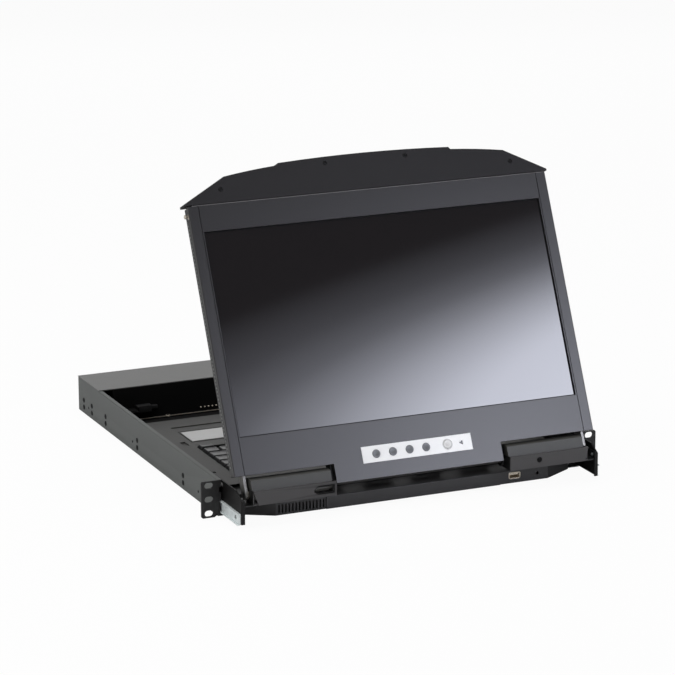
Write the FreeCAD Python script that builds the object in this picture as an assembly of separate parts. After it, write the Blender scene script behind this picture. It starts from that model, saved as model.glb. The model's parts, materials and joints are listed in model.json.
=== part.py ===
import FreeCAD, Part
import math
import os
from FreeCAD import Placement, Rotation, Vector

# Rack console, 1U: an LCD module and a keyboard module that slide out of one shallow chassis on
# their own rails.  Millimetres.  X runs to the viewer's right, Y into the rack, Z up.  The origin is
# the middle of the ears' slot pattern on their front faces.  At rest the LCD module is pulled out
# and tipped open, and the keyboard module is stowed under it.

# ---- driving dimensions -------------------------------------------------------------------------
SHEET = 1.2                  # chassis and bracket sheet
SEAT = 0.3                   # gap between a piece and what carries it
RUN = 0.05                   # radial clearance of a shaft in its hole

RACK_SLOT_SPAN = 465.1       # 19 inch rack: side-to-side distance of the mounting slots
RACK_SLOT_PITCH = 15.875     # and their vertical pitch inside one rack unit
EAR_EDGE = 8.75              # slot centre to the ear's outer edge
EAR_T = 2.0
EAR_REACH = 3.8              # the ear's inner edge inside the chassis wall's outer face
EAR_CORNER = 2.5
EAR_LEG = 42.0               # the leg welded along the wall
SLOT_LENGTH = 10.0
SLOT_HEIGHT = 7.0

CHASSIS_INSET = 10.55        # chassis wall's outer face inside the slot centres
CHASSIS_H = 41.7
CHASSIS_D = 458.8
TOP_FLANGE = 5.0
BEND_R = 1.0
COVER_D = 72.8               # the rear electronics bay's length
COVER_T = 1.0
COVER_SKIRT = 8.0
COVER_SCREW_T = 1.3

BEZEL_SIDE = 0.4             # bezel to each ear's inner edge, stowed
COVER_INSET = 2.0            # housing's side inside the bezel's
LCD_T = 18.8
LCD_WALL = 1.5
BEZEL_T = 2.6
SCREEN_SIDE = 13.8           # the bezel's side rails
SCREEN_H = 229.2
GROOVE_IN = 12.2             # the rails' fine groove, inside the bezel's edge
GROOVE = 0.8
SCREEN_UP = 60.8             # hinge axis to the screen's lower edge
BEZEL_HEAD = 29.1            # the bezel's rail above the screen
TONGUE_W = 202.0             # the bezel's middle part, between the two hinges
TONGUE_DOWN = 1.9            # how far the tongue reaches past the hinge axis
NOTCH_UP = 19.4              # hinge axis to the bezel's edge above the hinges
NOTCH_BACK = 21.3            # and to the housing's, behind it
FACE_TO_AXIS = 11.0          # bezel face to hinge axis
LEAN = 25.2                  # open LCD, degrees back from upright
AXIS_Y = -37.05              # hinge axis with the LCD module pulled out
CLOSED_GAP = 2.3             # closed bezel above the key tops

HANDLE_OVER = 2.45           # upper handle's sides outside the bezel's
HANDLE_GAP = 1.5
HANDLE_PROUD = 0.6
HANDLE_WALL = 2.4
HANDLE_CHAMFER = 0.6
SHOULDER_IN = 49.75          # handle's shoulder inside its side
SHOULDER_RISE = 30.2         # heights above the bezel's upper edge
STEP_X = 106.0
STEP_RISE = 37.1
CREST_RISE = 42.5
SHOULDER_SCREW = (6.0, 16.2)     # outside the shoulder, above the bezel
CREST_SCREW = (48.8, 34.6)
BOARD_POST_X = 76.0          # posts of the LCD's board
BOARD_POST_UP = (8.0, 38.0)
SINK_R = 2.6                 # counterbores of the handle's screws
SINK = 1.0

STRIP_W = 132.6              # control strip
STRIP_H = 18.3
STRIP_UP = 24.4
STRIP_PROUD = 0.3
BUTTON_R = 4.6
BUTTON_SIDES = 20
BUTTON_PROUD = 0.9
BUTTON_TRAVEL = 0.8
OSD_BUTTON_X = (-49.5, -29.4, -9.3, 10.8)
POWER_BUTTON_X = 36.7
LED_X = 53.8
LED_R = 1.5
PIN_R = 2.4                  # side latch pins of the LCD
PIN_OUT = 4.4
PIN_UP = 310.0
PIN_DEPTH = 8.0              # below the bezel's face

SHAFT_R = 3.0
BARREL_R = 17.6
BARREL_BACK = 0.3
BARREL_FRONT = 12.4          # in front of the axis
BARREL_DOWN = 6.0
LUG_R = 6.0
CHEEK_T = 3.0
CHEEK_R = 6.0
PLATE_FRONT = -56.2          # hinge brackets' front faces
PLATE_IN = 105.3
PLATE_INSET = 13.8           # plate's outer end inside the arm's outer face
PLATE_LOW = 5.0
PLATE_TOP = 20.9
PLATE_LIP = 2.2
SLANT_LEFT = 5.8             # how far the plates' outer ends lean in at the bottom
SLANT_RIGHT = 3.5
PLATE_SCREW_X = 141.2
TIE_T = 1.5
TAB_UP = 9.0                 # height of the tabs screwed to the arms
FINGER_SLOT = (4.5, 22.0, 6.6)    # inside end, length and height, in the left plate
FINGER_DISH = (2.0, 23.5, 10.5)   # the shallow dish round it
DISH_DEEP = 0.5

ARM_T = 1.5
ARM_INSET = 1.9              # side arms inside the ears' inner edges
ARM_FRONT = -54.0
ARM_NOSE = 4.3
ARM_LOW = -15.4
ARM_TOP = 19.5
NOSE_TOP = 11.0              # the arm's upper edge falls to this at its nose
NOSE_BACK = -38.0
ARM_BACK = 76.0
ARM_TAPER = 34.0
ARM_WINDOW = ((0.0, 34.0), (13.0, 17.0))
CROSSBAR_Y = (-14.0, 24.0)
CROSSBAR_Z = 2.0
CROSSBAR_LIP = 4.0

SLIDE_T = 1.2
SLIDE_Z = (-18.2, -1.8)      # LCD slides, fixed member
SLIDE_START = 6.0
SLIDE_REST = 11.5            # the slides stop short of the rear panel
SLIDE_INNER_T = 1.0
SLIDE_SCREWS = (339.6, 191.3, 83.3, 34.4, 6.0)    # back from the slide's rear end
SLIDE_SCREW_PITCH = 8.6
SLIDE_RIVETS = (386.5, 175.9, 23.1)
RIVET_Z = -9.4
RIVET_R = 1.6
SCREW_R = 1.5
SHANK_SIDES = 8
TRAY_POST_X = 150.0          # outer posts of the key plate
POST_R = 3.0                 # standoffs of boards and the key plate
SCREW_HEAD_R = 3.1
SCREW_HEAD_T = 0.8

DECK_SIDE = 2.3              # keyboard deck to the tabs of the LCD carriage
TRAY_INSET = 6.5             # keyboard tray's wall inside the deck's edge
KB_BACK = 315.0
KB_FRONT = 1.0
KB_LIFT = 0.8                # tray above the chassis floor
KB_SHEET = 1.0
DECK_T = 2.5
DECK_TOP = -3.3
POCKET_DEEP = 1.0
POCKET_SIDE = 0.8            # key field to the pocket's side
POCKET_Y = (97.0, 284.0)
REAR_DENT_OUT = (11.6, 5.1)      # finger dents in the deck, out from the pocket's left side
REAR_DENT_Y = (209.0, 224.0)
FRONT_DENT_OUT = (20.6, 15.6)
FRONT_DENT_Y = (97.0, 103.0)
KEY_TOP = -0.6
KEY_SKIRT = 4.0              # key body below the deck's pocket floor
KEY_TRAVEL = 2.0
KEY_GAP = 1.2
KEY_TAPER = 1.3
KEY_UNIT = 18.48
KEYS_ACROSS = 18.25          # key field's width in key units
KEY_FIELD_FRONT = 98.0
KEY_ROW = 17.6
FUNCTION_ROW = 13.4
FUNCTION_GAP = 2.6
STRIP_PANEL_Y = (224.4, 262.0)
STRIP_PANEL_W = 330.0
STRIP_PANEL_T = 0.8
KB_SLIDE_Z = (-17.9, -6.5)
KB_SLIDE_REST = 14.0         # its runner stops short of the bay wall
KB_SLIDE_IN = 1.2
KB_SLIDE_SIDE = 5.7          # tray wall to the channel's outer face
TOUCHPAD = (78.0, 44.0)
TOUCHPAD_Y = 24.0
TOUCH_BUTTON = (38.0, 12.0)
TOUCH_BUTTON_Y = 8.0

GRIP_INSET = 8.0             # lower handle's side inside the deck's
GRIP_FRONT = -28.5
GRIP_CORNER = 37.0           # its slanted corner, side to side
GRIP_SIDE = -7.0
GRIP_TOP = -4.2
GRIP_LOW = -18.8
GRIP_WALL = 2.4
GRIP_PAD = 106.0
GRIP_PAD_T = 1.2
VENT_SLOTS = 14
VENT_SLOT_W = 1.9
VENT_Z = (-16.6, -7.0)
USB_Z = -10.0
USB_SIZE = (13.4, 6.6, 14.0)
USB_SHELL = 0.5
USB_TONGUE = (11.0, 1.8)
RESET_IN = 13.0              # pin hole inside the handle's corner
RESET_R = 1.8

REAR_PANEL_T = 1.2
INLET_INSET = 70.8           # the inlet's middle inside the chassis wall
INLET_SIZE = (27.4, 19.8)
INLET_DEEP = 20.0
SWITCH_GAP = 38.0            # inlet to switch, middle to middle
SWITCH_SIZE = (13.0, 20.8)
SWITCH_DEEP = 11.0
ROCKER_TILT = 8.0
VIDEO_X = -40.0
VIDEO_SIZE = (16.9, 8.3)
USBB_X = -90.0
USBB_SIZE = (12.0, 10.8)
STUD_INSET = 30.8
BOARD_INSET = 25.8           # main board's left edge inside the chassis wall
BOARD_GAP = 15.0             # and its right edge short of the mains supply
BOARD_Z = -12.6
BOARD_T = 1.6
SUPPLY_INSET = 17.8
SUPPLY_W = 128.0
SUPPLY_H = 29.0
BAY_WALL_INSET = 7.0         # bay wall's ends inside the deck's edges
BAY_LIP = 8.0
CLIP_W = 24.0

# ---- places that follow from them ---------------------------------------------------------------
BOTTOM = -CHASSIS_H / 2
TOP = CHASSIS_H / 2
FLOOR = BOTTOM + SHEET
COVER_SCREW_Z = TOP - 4.2
HALF_SPAN = RACK_SLOT_SPAN / 2
EAR_OUT = HALF_SPAN + EAR_EDGE
WALL_OUT = HALF_SPAN - CHASSIS_INSET
WALL_IN = WALL_OUT - SHEET
EAR_IN = WALL_OUT - EAR_REACH
ARM_OUT = EAR_IN - ARM_INSET
ARM_IN = ARM_OUT - ARM_T
PLATE_OUT = ARM_OUT - PLATE_INSET
HALF_BEZEL = EAR_IN - BEZEL_SIDE
HALF_LCD = HALF_BEZEL - COVER_INSET
HALF_SCREEN = HALF_BEZEL - SCREEN_SIDE
HALF_HANDLE = HALF_BEZEL + HANDLE_OVER
SHOULDER_X = HALF_HANDLE - SHOULDER_IN
HALF_DECK = ARM_IN - TIE_T - DECK_SIDE
HALF_TRAY = HALF_DECK - TRAY_INSET
HALF_GRIP = HALF_DECK - GRIP_INSET
GRIP_SHOULDER = HALF_GRIP - GRIP_CORNER
USB_X = (GRIP_PAD + GRIP_SHOULDER) / 2 - 12
RESET_X = GRIP_SHOULDER - RESET_IN
VENT_X = (-GRIP_SHOULDER + 2, -GRIP_PAD - 1)
BAY_FRONT = CHASSIS_D - COVER_D
HALF_BAY_WALL = HALF_DECK - BAY_WALL_INSET
REAR_PANEL_Y = CHASSIS_D - REAR_PANEL_T - 0.1
REAR_FACE = REAR_PANEL_Y + REAR_PANEL_T
SLIDE_END = REAR_PANEL_Y - SLIDE_REST
KB_SLIDE_BACK = BAY_FRONT - KB_SLIDE_REST
INLET_X = WALL_IN - INLET_INSET
SWITCH_X = INLET_X - SWITCH_GAP
STUD_X = WALL_IN - STUD_INSET
SUPPLY = (WALL_IN - SUPPLY_INSET - SUPPLY_W, WALL_IN - SUPPLY_INSET)
BOARD = (BOARD_INSET - WALL_IN, SUPPLY[0] - BOARD_GAP)
LCD_BACK = FACE_TO_AXIS - LCD_T
BEZEL_BACK = FACE_TO_AXIS - BEZEL_T
AXIS_Z = KEY_TOP + CLOSED_GAP + FACE_TO_AXIS
HALF_TONGUE = TONGUE_W / 2
PIN_Z = FACE_TO_AXIS - PIN_DEPTH
DECK_LOW = DECK_TOP - DECK_T
POCKET_FLOOR = DECK_TOP - POCKET_DEEP
TRAY_LOW = FLOOR + KB_LIFT
TRAY_FLOOR = TRAY_LOW + KB_SHEET
KEY_LOW = POCKET_FLOOR - KEY_SKIRT
KEY_PLATE_TOP = KEY_LOW - KEY_TRAVEL - SEAT
KEY_PLATE_T = 1.6
KEY_PLATE_BACK = KEY_FIELD_FRONT + 5 * KEY_ROW + FUNCTION_GAP + FUNCTION_ROW + 8
HALF_FIELD = KEYS_ACROSS * KEY_UNIT / 2
HALF_POCKET = HALF_FIELD + POCKET_SIDE
LED_Z = FACE_TO_AXIS + STRIP_PROUD
BEZEL_UP = SCREEN_UP + SCREEN_H + BEZEL_HEAD     # hinge axis to the bezel's upper edge
BEZEL_TOP = BEZEL_UP + HANDLE_GAP
HANDLE_SCREWS = ((SHOULDER_X + SHOULDER_SCREW[0], BEZEL_UP + SHOULDER_SCREW[1]),
                 (CREST_SCREW[0], BEZEL_UP + CREST_SCREW[1]))


# ---- shape helpers ------------------------------------------------------------------------------
def box(x, y, z):
    """Block between two limits along each axis."""
    return Part.makeBox(x[1] - x[0], y[1] - y[0], z[1] - z[0], Vector(x[0], y[0], z[0]))


def prism(points, direction):
    """Closed outline of 3-D points pushed along a vector."""
    wire = Part.makePolygon([Vector(*p) for p in points] + [Vector(*points[0])])
    return Part.Face(wire).extrude(Vector(*direction))


def prism_xz(points, y):
    return prism([(a, y[0], b) for a, b in points], (0, y[1] - y[0], 0))


def prism_yz(points, x):
    return prism([(x[0], a, b) for a, b in points], (x[1] - x[0], 0, 0))


def prism_xy(points, z):
    return prism([(a, b, z[0]) for a, b in points], (0, 0, z[1] - z[0]))


def rod(start, direction, length, radius):
    return Part.makeCylinder(radius, length, Vector(*start), Vector(*direction))


def turned(profile, place, direction):
    """Solid of revolution: profile is (radius, distance) pairs along the direction from place."""
    wire = Part.makePolygon([Vector(r, 0, h) for r, h in profile + profile[:1]])
    solid = Part.Face(wire).revolve(Vector(0, 0, 0), Vector(0, 0, 1), 360)
    solid.Placement = Placement(Vector(*place), Rotation(Vector(0, 0, 1), Vector(*direction)))
    return solid


def many_sided(rings, place, direction, sides=12):
    """Solid with flat sides through (radius, distance) rings, for the small turned pieces, of which
    there are many, and the holes they pass through."""
    wires = []
    for radius, distance in rings:
        turns = [2 * math.pi * i / sides for i in range(sides)]
        ring = [Vector(radius * math.cos(a), radius * math.sin(a), distance) for a in turns]
        wires.append(Part.makePolygon(ring + ring[:1]))
    solid = Part.makeLoft(wires, True, True)
    solid.Placement = Placement(Vector(*place), Rotation(Vector(0, 0, 1), Vector(*direction)))
    return solid


def screw(place, direction, head, length):
    """Screw with a coned pan head of the given radius and height, seated at its place."""
    radius, height = head
    cone = many_sided([(radius, 0), (radius - 0.8, height)], place, direction)
    shank = many_sided([(SCREW_R, -length), (SCREW_R, 0)], place, direction, SHANK_SIDES)
    return fuse([cone, shank])


def rivet(place, direction):
    return many_sided([(RIVET_R, 0), (RIVET_R - 0.8, 0.5)], place, direction)


def standoff(place, height):
    return many_sided([(POST_R, 0), (POST_R, height)], place, (0, 0, 1))


def screw_hole(place, direction, length):
    return many_sided([(SCREW_R + 0.1, 0), (SCREW_R + 0.1, length)], place, direction, SHANK_SIDES)


def mirrored(shape):
    """The left-hand twin of a right-hand piece."""
    return shape.mirror(Vector(0, 0, 0), Vector(1, 0, 0))


def fuse(pieces):
    return pieces[0].multiFuse(pieces[1:]).removeSplitter()


def group(pieces):
    return Part.makeCompound(pieces)


def straight_edges(shape, along, keep):
    """Edges parallel to an axis whose middle passes the test."""
    found = []
    for edge in shape.Edges:
        if len(edge.Vertexes) != 2:
            continue
        run = edge.Vertexes[1].Point - edge.Vertexes[0].Point
        if abs(run.dot(along)) > 0.999 * run.Length and keep(edge.CenterOfMass):
            found.append(edge)
    return found


def to_open(shape):
    """LCD pieces are drawn about the hinge axis, X across, Y up the screen and Z towards the
    viewer; this stands them in the open position."""
    opened = Placement(Vector(0, AXIS_Y, AXIS_Z), Rotation(Vector(1, 0, 0), 90 - LEAN))
    placed = shape.copy()
    placed.Placement = opened.multiply(shape.Placement)
    return placed


def save(name, shape):
    shape.exportStep("parts/" + name + ".step")


def save_pair(name, right, left=None):
    save(name + "_right", right)
    save(name + "_left", left if left else mirrored(right))


# ---- chassis ------------------------------------------------------------------------------------
def chassis_tray():
    """Floor, walls and inward top flanges folded from one sheet, with the board's standoffs."""
    lip = WALL_OUT - TOP_FLANGE
    half = [(0, BOTTOM), (WALL_OUT, BOTTOM), (WALL_OUT, TOP), (lip, TOP), (lip, TOP - SHEET),
            (WALL_IN, TOP - SHEET), (WALL_IN, FLOOR), (0, FLOOR)]
    outline = half[1:-1] + [(-a, b) for a, b in reversed(half[1:-1])]
    tray = prism_xz(outline, (EAR_T, CHASSIS_D))
    bends = straight_edges(tray, Vector(0, 1, 0), lambda c: abs(abs(c.x) - WALL_OUT) < 0.01)
    tray = tray.makeFillet(BEND_R, bends)
    for z, y in screw_places():
        for side in (-1, 1):
            for dz in (-SLIDE_SCREW_PITCH / 2, SLIDE_SCREW_PITCH / 2):
                tray = tray.cut(screw_hole((side * (WALL_IN - 1), y, z + dz), (side, 0, 0), SHEET + 2))
    return fuse([tray] + [standoff((x, y, FLOOR), BOARD_Z - FLOOR)
                          for x in (BOARD[0] + 6, (BOARD[0] + BOARD[1]) / 2, BOARD[1] - 6)
                          for y in (BAY_FRONT + 12, REAR_PANEL_Y - 8)])


def screw_places():
    """Height and depth of each pair of slide screws."""
    middle = (SLIDE_Z[0] + SLIDE_Z[1]) / 2
    return [(middle + 1.6, SLIDE_END - back) for back in SLIDE_SCREWS]


def side_screws():
    """Pan-head screws and small rivets that hold the LCD slides to the walls."""
    head = (SCREW_HEAD_R, SCREW_HEAD_T)
    pieces = []
    for side in (-1, 1):
        for z, y in screw_places():
            for dz in (-SLIDE_SCREW_PITCH / 2, SLIDE_SCREW_PITCH / 2):
                place = (side * WALL_OUT, y, z + dz)
                pieces.append(screw(place, (side, 0, 0), head, SHEET + SLIDE_T - 0.1))
        for back in SLIDE_RIVETS:
            pieces.append(rivet((side * WALL_OUT, SLIDE_END - back, RIVET_Z), (side, 0, 0)))
    return group(pieces)


def rack_ear():
    """Right ear: front plate with three slots and a leg welded inside the wall."""
    foot = 3.5
    rise = 2.8
    outline = [(EAR_IN, BOTTOM + rise), (EAR_IN + foot, BOTTOM + rise), (EAR_IN + foot + rise + 1.8, BOTTOM),
               (EAR_OUT, BOTTOM), (EAR_OUT, TOP), (EAR_IN, TOP)]
    plate = prism_xz(outline, (0, EAR_T))
    rounds = straight_edges(plate, Vector(0, 1, 0), lambda c: abs(c.x - EAR_OUT) < 0.01)
    plate = plate.makeFillet(EAR_CORNER, rounds)
    for row in (-1, 0, 1):
        plate = plate.cut(ear_slot(row * RACK_SLOT_PITCH))
    pin_z = AXIS_Z - PIN_Z
    through = (-1, EAR_T + 1)
    notch = box((EAR_IN - 1, WALL_IN - 0.3), through, (pin_z - PIN_R - 0.8, pin_z + PIN_R + 0.8))
    slot = box((EAR_IN - 1, WALL_IN - 0.9), through, (SLIDE_Z[0] + 0.6, SLIDE_Z[1] - 0.6))
    leg = box((WALL_IN - SHEET, WALL_IN), (EAR_T, EAR_T + EAR_LEG), (SLIDE_Z[1] + 0.6, pin_z - PIN_R - 1.2))
    return fuse([plate.cut(notch).cut(slot), leg])


def ear_slot(z):
    half = (SLOT_LENGTH - SLOT_HEIGHT) / 2
    r = SLOT_HEIGHT / 2
    body = box((HALF_SPAN - half, HALF_SPAN + half), (-1, EAR_T + 1), (z - r, z + r))
    ends = [rod((HALF_SPAN + s * half, -1, z), (0, 1, 0), EAR_T + 2, r) for s in (-1, 1)]
    return body.multiFuse(ends)


def rear_cover():
    """Lid of the electronics bay: it lies on the wall flanges and folds down over the back."""
    lid = box((-WALL_OUT, WALL_OUT), (BAY_FRONT, CHASSIS_D + COVER_T + 0.1), (TOP, TOP + COVER_T))
    back = CHASSIS_D + 0.1
    skirt = box((-WALL_OUT + 1, WALL_OUT - 1), (back, back + COVER_T), (TOP - COVER_SKIRT, TOP))
    lid = fuse([lid, skirt])
    rear_edge = straight_edges(lid, Vector(1, 0, 0),
                               lambda c: c.z > TOP + 0.9 * COVER_T and c.y > CHASSIS_D)
    lid = lid.makeFillet(0.8, rear_edge)
    for x in cover_screw_x():
        lid = lid.cut(screw_hole((x, CHASSIS_D - 1, COVER_SCREW_Z), (0, 1, 0), 4))
    return lid


def cover_screw_x():
    return (-STUD_X, -STUD_X / 3, STUD_X / 3, STUD_X)


def cover_screws():
    """Screws through the cover's skirt into the rear panel, and the bay wall's two foot screws."""
    face = CHASSIS_D + 0.1 + COVER_T
    head = (SCREW_HEAD_R, COVER_SCREW_T)
    pieces = [screw((x, face, COVER_SCREW_Z), (0, 1, 0), head, 3.0) for x in cover_screw_x()]
    for x in (-HALF_BAY_WALL * 2 / 3, HALF_BAY_WALL * 2 / 3):
        place = (x, BAY_FRONT - BAY_LIP / 2, FLOOR + SHEET)
        pieces.append(many_sided([(SCREW_HEAD_R, 0), (SCREW_HEAD_R - 0.8, COVER_SCREW_T)], place, (0, 0, 1)))
    return group(pieces)


def bay_wall():
    """Front wall of the electronics bay, footed on the floor, lipped under the cover and with the
    clip that holds the moving modules' cable."""
    half = HALF_BAY_WALL
    wall = prism_yz([(BAY_FRONT, FLOOR), (BAY_FRONT, TOP), (BAY_FRONT + BAY_LIP, TOP),
                     (BAY_FRONT + BAY_LIP, TOP - SHEET), (BAY_FRONT + SHEET, TOP - SHEET),
                     (BAY_FRONT + SHEET, FLOOR)], (-half, half))
    foot = box((-half, half), (BAY_FRONT - BAY_LIP, BAY_FRONT), (FLOOR, FLOOR + SHEET))
    left = 4 - half
    right = left + CLIP_W
    clip = prism_xz([(left, -6), (right, -6), (right, -1), (right - SHEET, -1), (right - SHEET, -4.8),
                     (left + SHEET, -4.8), (left + SHEET, 1.0), (left, 1.0)], (BAY_FRONT - 14, BAY_FRONT))
    return fuse([wall, foot, clip])


def rear_panel():
    """Back wall with its cut-outs for the inlet, the switch and the console sockets."""
    half = WALL_IN - SEAT
    span = (REAR_PANEL_Y, REAR_FACE)
    panel = box((-half, half), span, (FLOOR, TOP - SHEET - SEAT))
    cut = (REAR_PANEL_Y - 1, REAR_FACE + 1)
    for x, (w, h) in ((INLET_X, INLET_SIZE), (SWITCH_X, SWITCH_SIZE), (VIDEO_X, VIDEO_SIZE),
                      (USBB_X, USBB_SIZE)):
        w, h = w / 2 + SEAT, h / 2 + SEAT
        panel = panel.cut(box((x - w, x + w), cut, (-h, h)))
    for x in cover_screw_x():
        panel = panel.cut(screw_hole((x, REAR_PANEL_Y - 1, COVER_SCREW_Z), (0, 1, 0), 4))
    return fuse([panel, rod((STUD_X, REAR_FACE, -8), (0, 1, 0), 6, 2.0)])


def main_board():
    """Console controller board on its standoffs, with its larger parts."""
    back = REAR_PANEL_Y - 2
    board = box(BOARD, (BAY_FRONT + 4, back), (BOARD_Z, BOARD_Z + BOARD_T))
    top = BOARD_Z + BOARD_T
    left, right = BOARD
    chips = [box((x, x + w), (BAY_FRONT + y, BAY_FRONT + y + d), (top, top + h))
             for x, y, w, d, h in ((left + 45, 20, 28, 28, 2.4), (left + 100, 14, 16, 22, 1.8),
                                   (right - 120, 16, 40, 8, 9.0), (right - 60, 12, 34, 7, 9.0),
                                   (left + 7, 14, 14, 14, 12.0))]
    return fuse([board] + chips)


def power_supply():
    """Folded case of the mains supply, with louvres along its front."""
    case = box(SUPPLY, (BAY_FRONT + 4, REAR_PANEL_Y - INLET_DEEP - 6), (FLOOR, FLOOR + SUPPLY_H))
    slots = [box((x, x + 3), (BAY_FRONT + 3, BAY_FRONT + 5), (FLOOR + 6, FLOOR + SUPPLY_H - 6))
             for x in range(int(SUPPLY[0]) + 14, int(SUPPLY[1]) - 12, 8)]
    return case.cut(group(slots))


def power_inlet():
    """Mains inlet and the rocker switch's housing, moulded as one insert behind the panel."""
    w, h = INLET_SIZE[0] / 2, INLET_SIZE[1] / 2
    flange = box((INLET_X - w - 3, INLET_X + w + 3), (REAR_FACE, REAR_FACE + 2), (-h - 2, h + 2))
    body = box((INLET_X - w, INLET_X + w), (REAR_FACE - INLET_DEEP, REAR_FACE), (-h, h))
    well = box((INLET_X - w + 2, INLET_X + w - 2),
               (REAR_FACE - INLET_DEEP + 3, REAR_FACE + 3), (-h + 2, h - 2))
    blades = [box((INLET_X + x - 1, INLET_X + x + 1),
                  (REAR_FACE - INLET_DEEP + 2, REAR_FACE - 4), (z - 2.5, z + 2.5))
              for x, z in ((-7, 2), (7, 2), (0, -2))]
    inlet = fuse([fuse([flange, body]).cut(well)] + blades)
    w, h = SWITCH_SIZE[0] / 2, SWITCH_SIZE[1] / 2
    rim = box((SWITCH_X - w - 1.5, SWITCH_X + w + 1.5), (REAR_FACE, REAR_FACE + 1.5),
              (-h - 1.5, h + 1.5))
    housing = box((SWITCH_X - w, SWITCH_X + w), (REAR_FACE - SWITCH_DEEP, REAR_FACE), (-h, h))
    pocket = box((SWITCH_X - w + 1.2, SWITCH_X + w - 1.2),
                 (REAR_FACE - SWITCH_DEEP + 1.2, REAR_FACE + 2), (-h + 0.6, h - 0.6))
    pivot = rod((SWITCH_X - w + 0.4, rocker_pivot(), 0), (1, 0, 0), SWITCH_SIZE[0] - 0.8, 1.5 + RUN)
    return group([inlet, fuse([rim, housing]).cut(pocket).cut(pivot)])


def rocker_pivot():
    return REAR_FACE - 2.5


def power_switch():
    """Rocker with a shallow V face, resting on its lower side."""
    half = SWITCH_SIZE[0] / 2 - 1.5
    y = rocker_pivot()
    body = prism_yz([(y - 2.2, -8.6), (y + 3.4, -9.2), (y + 2.0, 0), (y + 3.4, 9.2), (y - 2.2, 8.6)],
                    (SWITCH_X - half, SWITCH_X + half))
    trunnion = rod((SWITCH_X - half - 0.9, y, 0), (1, 0, 0), 2 * half + 1.8, 1.5)
    rocker = fuse([body, trunnion])
    rocker.rotate(Vector(SWITCH_X, y, 0), Vector(1, 0, 0), -ROCKER_TILT)
    return rocker


def console_sockets():
    """Video and keyboard sockets for the cable from the switch or server."""
    w, h = VIDEO_SIZE[0] / 2, VIDEO_SIZE[1] / 2
    flange = box((VIDEO_X - 15.4, VIDEO_X + 15.4), (REAR_FACE, REAR_FACE + 0.8), (-6.2, 6.2))
    shell = box((VIDEO_X - w, VIDEO_X + w), (REAR_FACE - 8, REAR_FACE + 5.6), (-h, h))
    shell = shell.makeFillet(2.0, straight_edges(shell, Vector(0, 1, 0), lambda c: True))
    well = box((VIDEO_X - w + 1, VIDEO_X + w - 1), (REAR_FACE, REAR_FACE + 6), (-h + 1, h - 1))
    jacks = [rod((VIDEO_X + s * 12.5, REAR_FACE, 0), (0, 1, 0), 5, 2.4) for s in (-1, 1)]
    video = fuse([flange, shell] + jacks).cut(well)
    w, h = USBB_SIZE[0] / 2, USBB_SIZE[1] / 2
    can = box((USBB_X - w, USBB_X + w), (REAR_FACE - 12, REAR_FACE + 1.2), (-h, h))
    hollow = box((USBB_X - w + 1, USBB_X + w - 1), (REAR_FACE - 8, REAR_FACE + 2), (-h + 1, h - 1))
    tongue = box((USBB_X - 2.6, USBB_X + 2.6), (REAR_FACE - 8, REAR_FACE), (-1.6, 1.6))
    return group([video, fuse([can.cut(hollow), tongue])])


# ---- slides -------------------------------------------------------------------------------------
def slide_channel(back, low, high, reach, sheet):
    """Outline of a fixed member: web at the back, flanges towards the middle of the console."""
    return [(back, low), (back, high), (reach, high), (reach, high - sheet),
            (back - sheet, high - sheet), (back - sheet, low + sheet), (reach, low + sheet),
            (reach, low)]


def slide_runner(face, low, high, reach, sheet):
    """Outline of a moving member: web on the carriage, lips out into the fixed channel."""
    return [(face, low), (reach, low), (reach, low + sheet), (face + sheet, low + sheet),
            (face + sheet, high - sheet), (reach, high - sheet), (reach, high), (face, high)]


def lcd_slide_outer():
    outline = slide_channel(WALL_IN, SLIDE_Z[0], SLIDE_Z[1], ARM_OUT + 0.9, SLIDE_T)
    channel = prism_xz(outline, (SLIDE_START, SLIDE_END))
    for z, y in screw_places():
        for dz in (-SLIDE_SCREW_PITCH / 2, SLIDE_SCREW_PITCH / 2):
            channel = channel.cut(screw_hole((WALL_IN - 3, y, z + dz), (1, 0, 0), 4))
    return channel


def lcd_slide_inner():
    """Bright strip that runs in the channel, its nose bevelled at the lower corner."""
    low = SLIDE_Z[0] + SLIDE_T + SEAT
    high = SLIDE_Z[1] - SLIDE_T - SEAT
    outline = slide_runner(ARM_OUT, low, high, WALL_IN - SLIDE_T - SEAT, SLIDE_INNER_T)
    front = ARM_FRONT + 2.0
    strip = prism_xz(outline, (front, ARM_BACK))
    bevel = prism_yz([(front - 1, low - 1), (front + 3.5, low - 1), (front - 1, low + 3.5)],
                     (ARM_OUT - 1, WALL_OUT))
    return strip.cut(bevel)


def keyboard_slide_outer():
    """Channel of the keyboard's slide on its foot along the chassis floor."""
    back = HALF_TRAY + KB_SLIDE_SIDE
    outline = slide_channel(back, KB_SLIDE_Z[0], KB_SLIDE_Z[1], back - 3.6, SLIDE_T)
    channel = prism_xz(outline, (SLIDE_START, KB_SLIDE_BACK + 8))
    post = box((back - SLIDE_T, back), (SLIDE_START, KB_SLIDE_BACK + 8), (FLOOR, KB_SLIDE_Z[0]))
    foot = box((back, back + 4.5), (SLIDE_START, KB_SLIDE_BACK + 8), (FLOOR, FLOOR + 1.0))
    return fuse([channel, post, foot])


def keyboard_slide_inner():
    """Runner on the tray's side; its tail stays in the channel when the tray is pulled out."""
    low = KB_SLIDE_Z[0] + SLIDE_T + SEAT
    high = KB_SLIDE_Z[1] - SLIDE_T - SEAT
    reach = HALF_TRAY + KB_SLIDE_SIDE - SLIDE_T - SEAT
    return prism_xz(slide_runner(HALF_TRAY, low, high, reach, KB_SLIDE_IN), (KB_FRONT + 1, KB_SLIDE_BACK))


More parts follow.
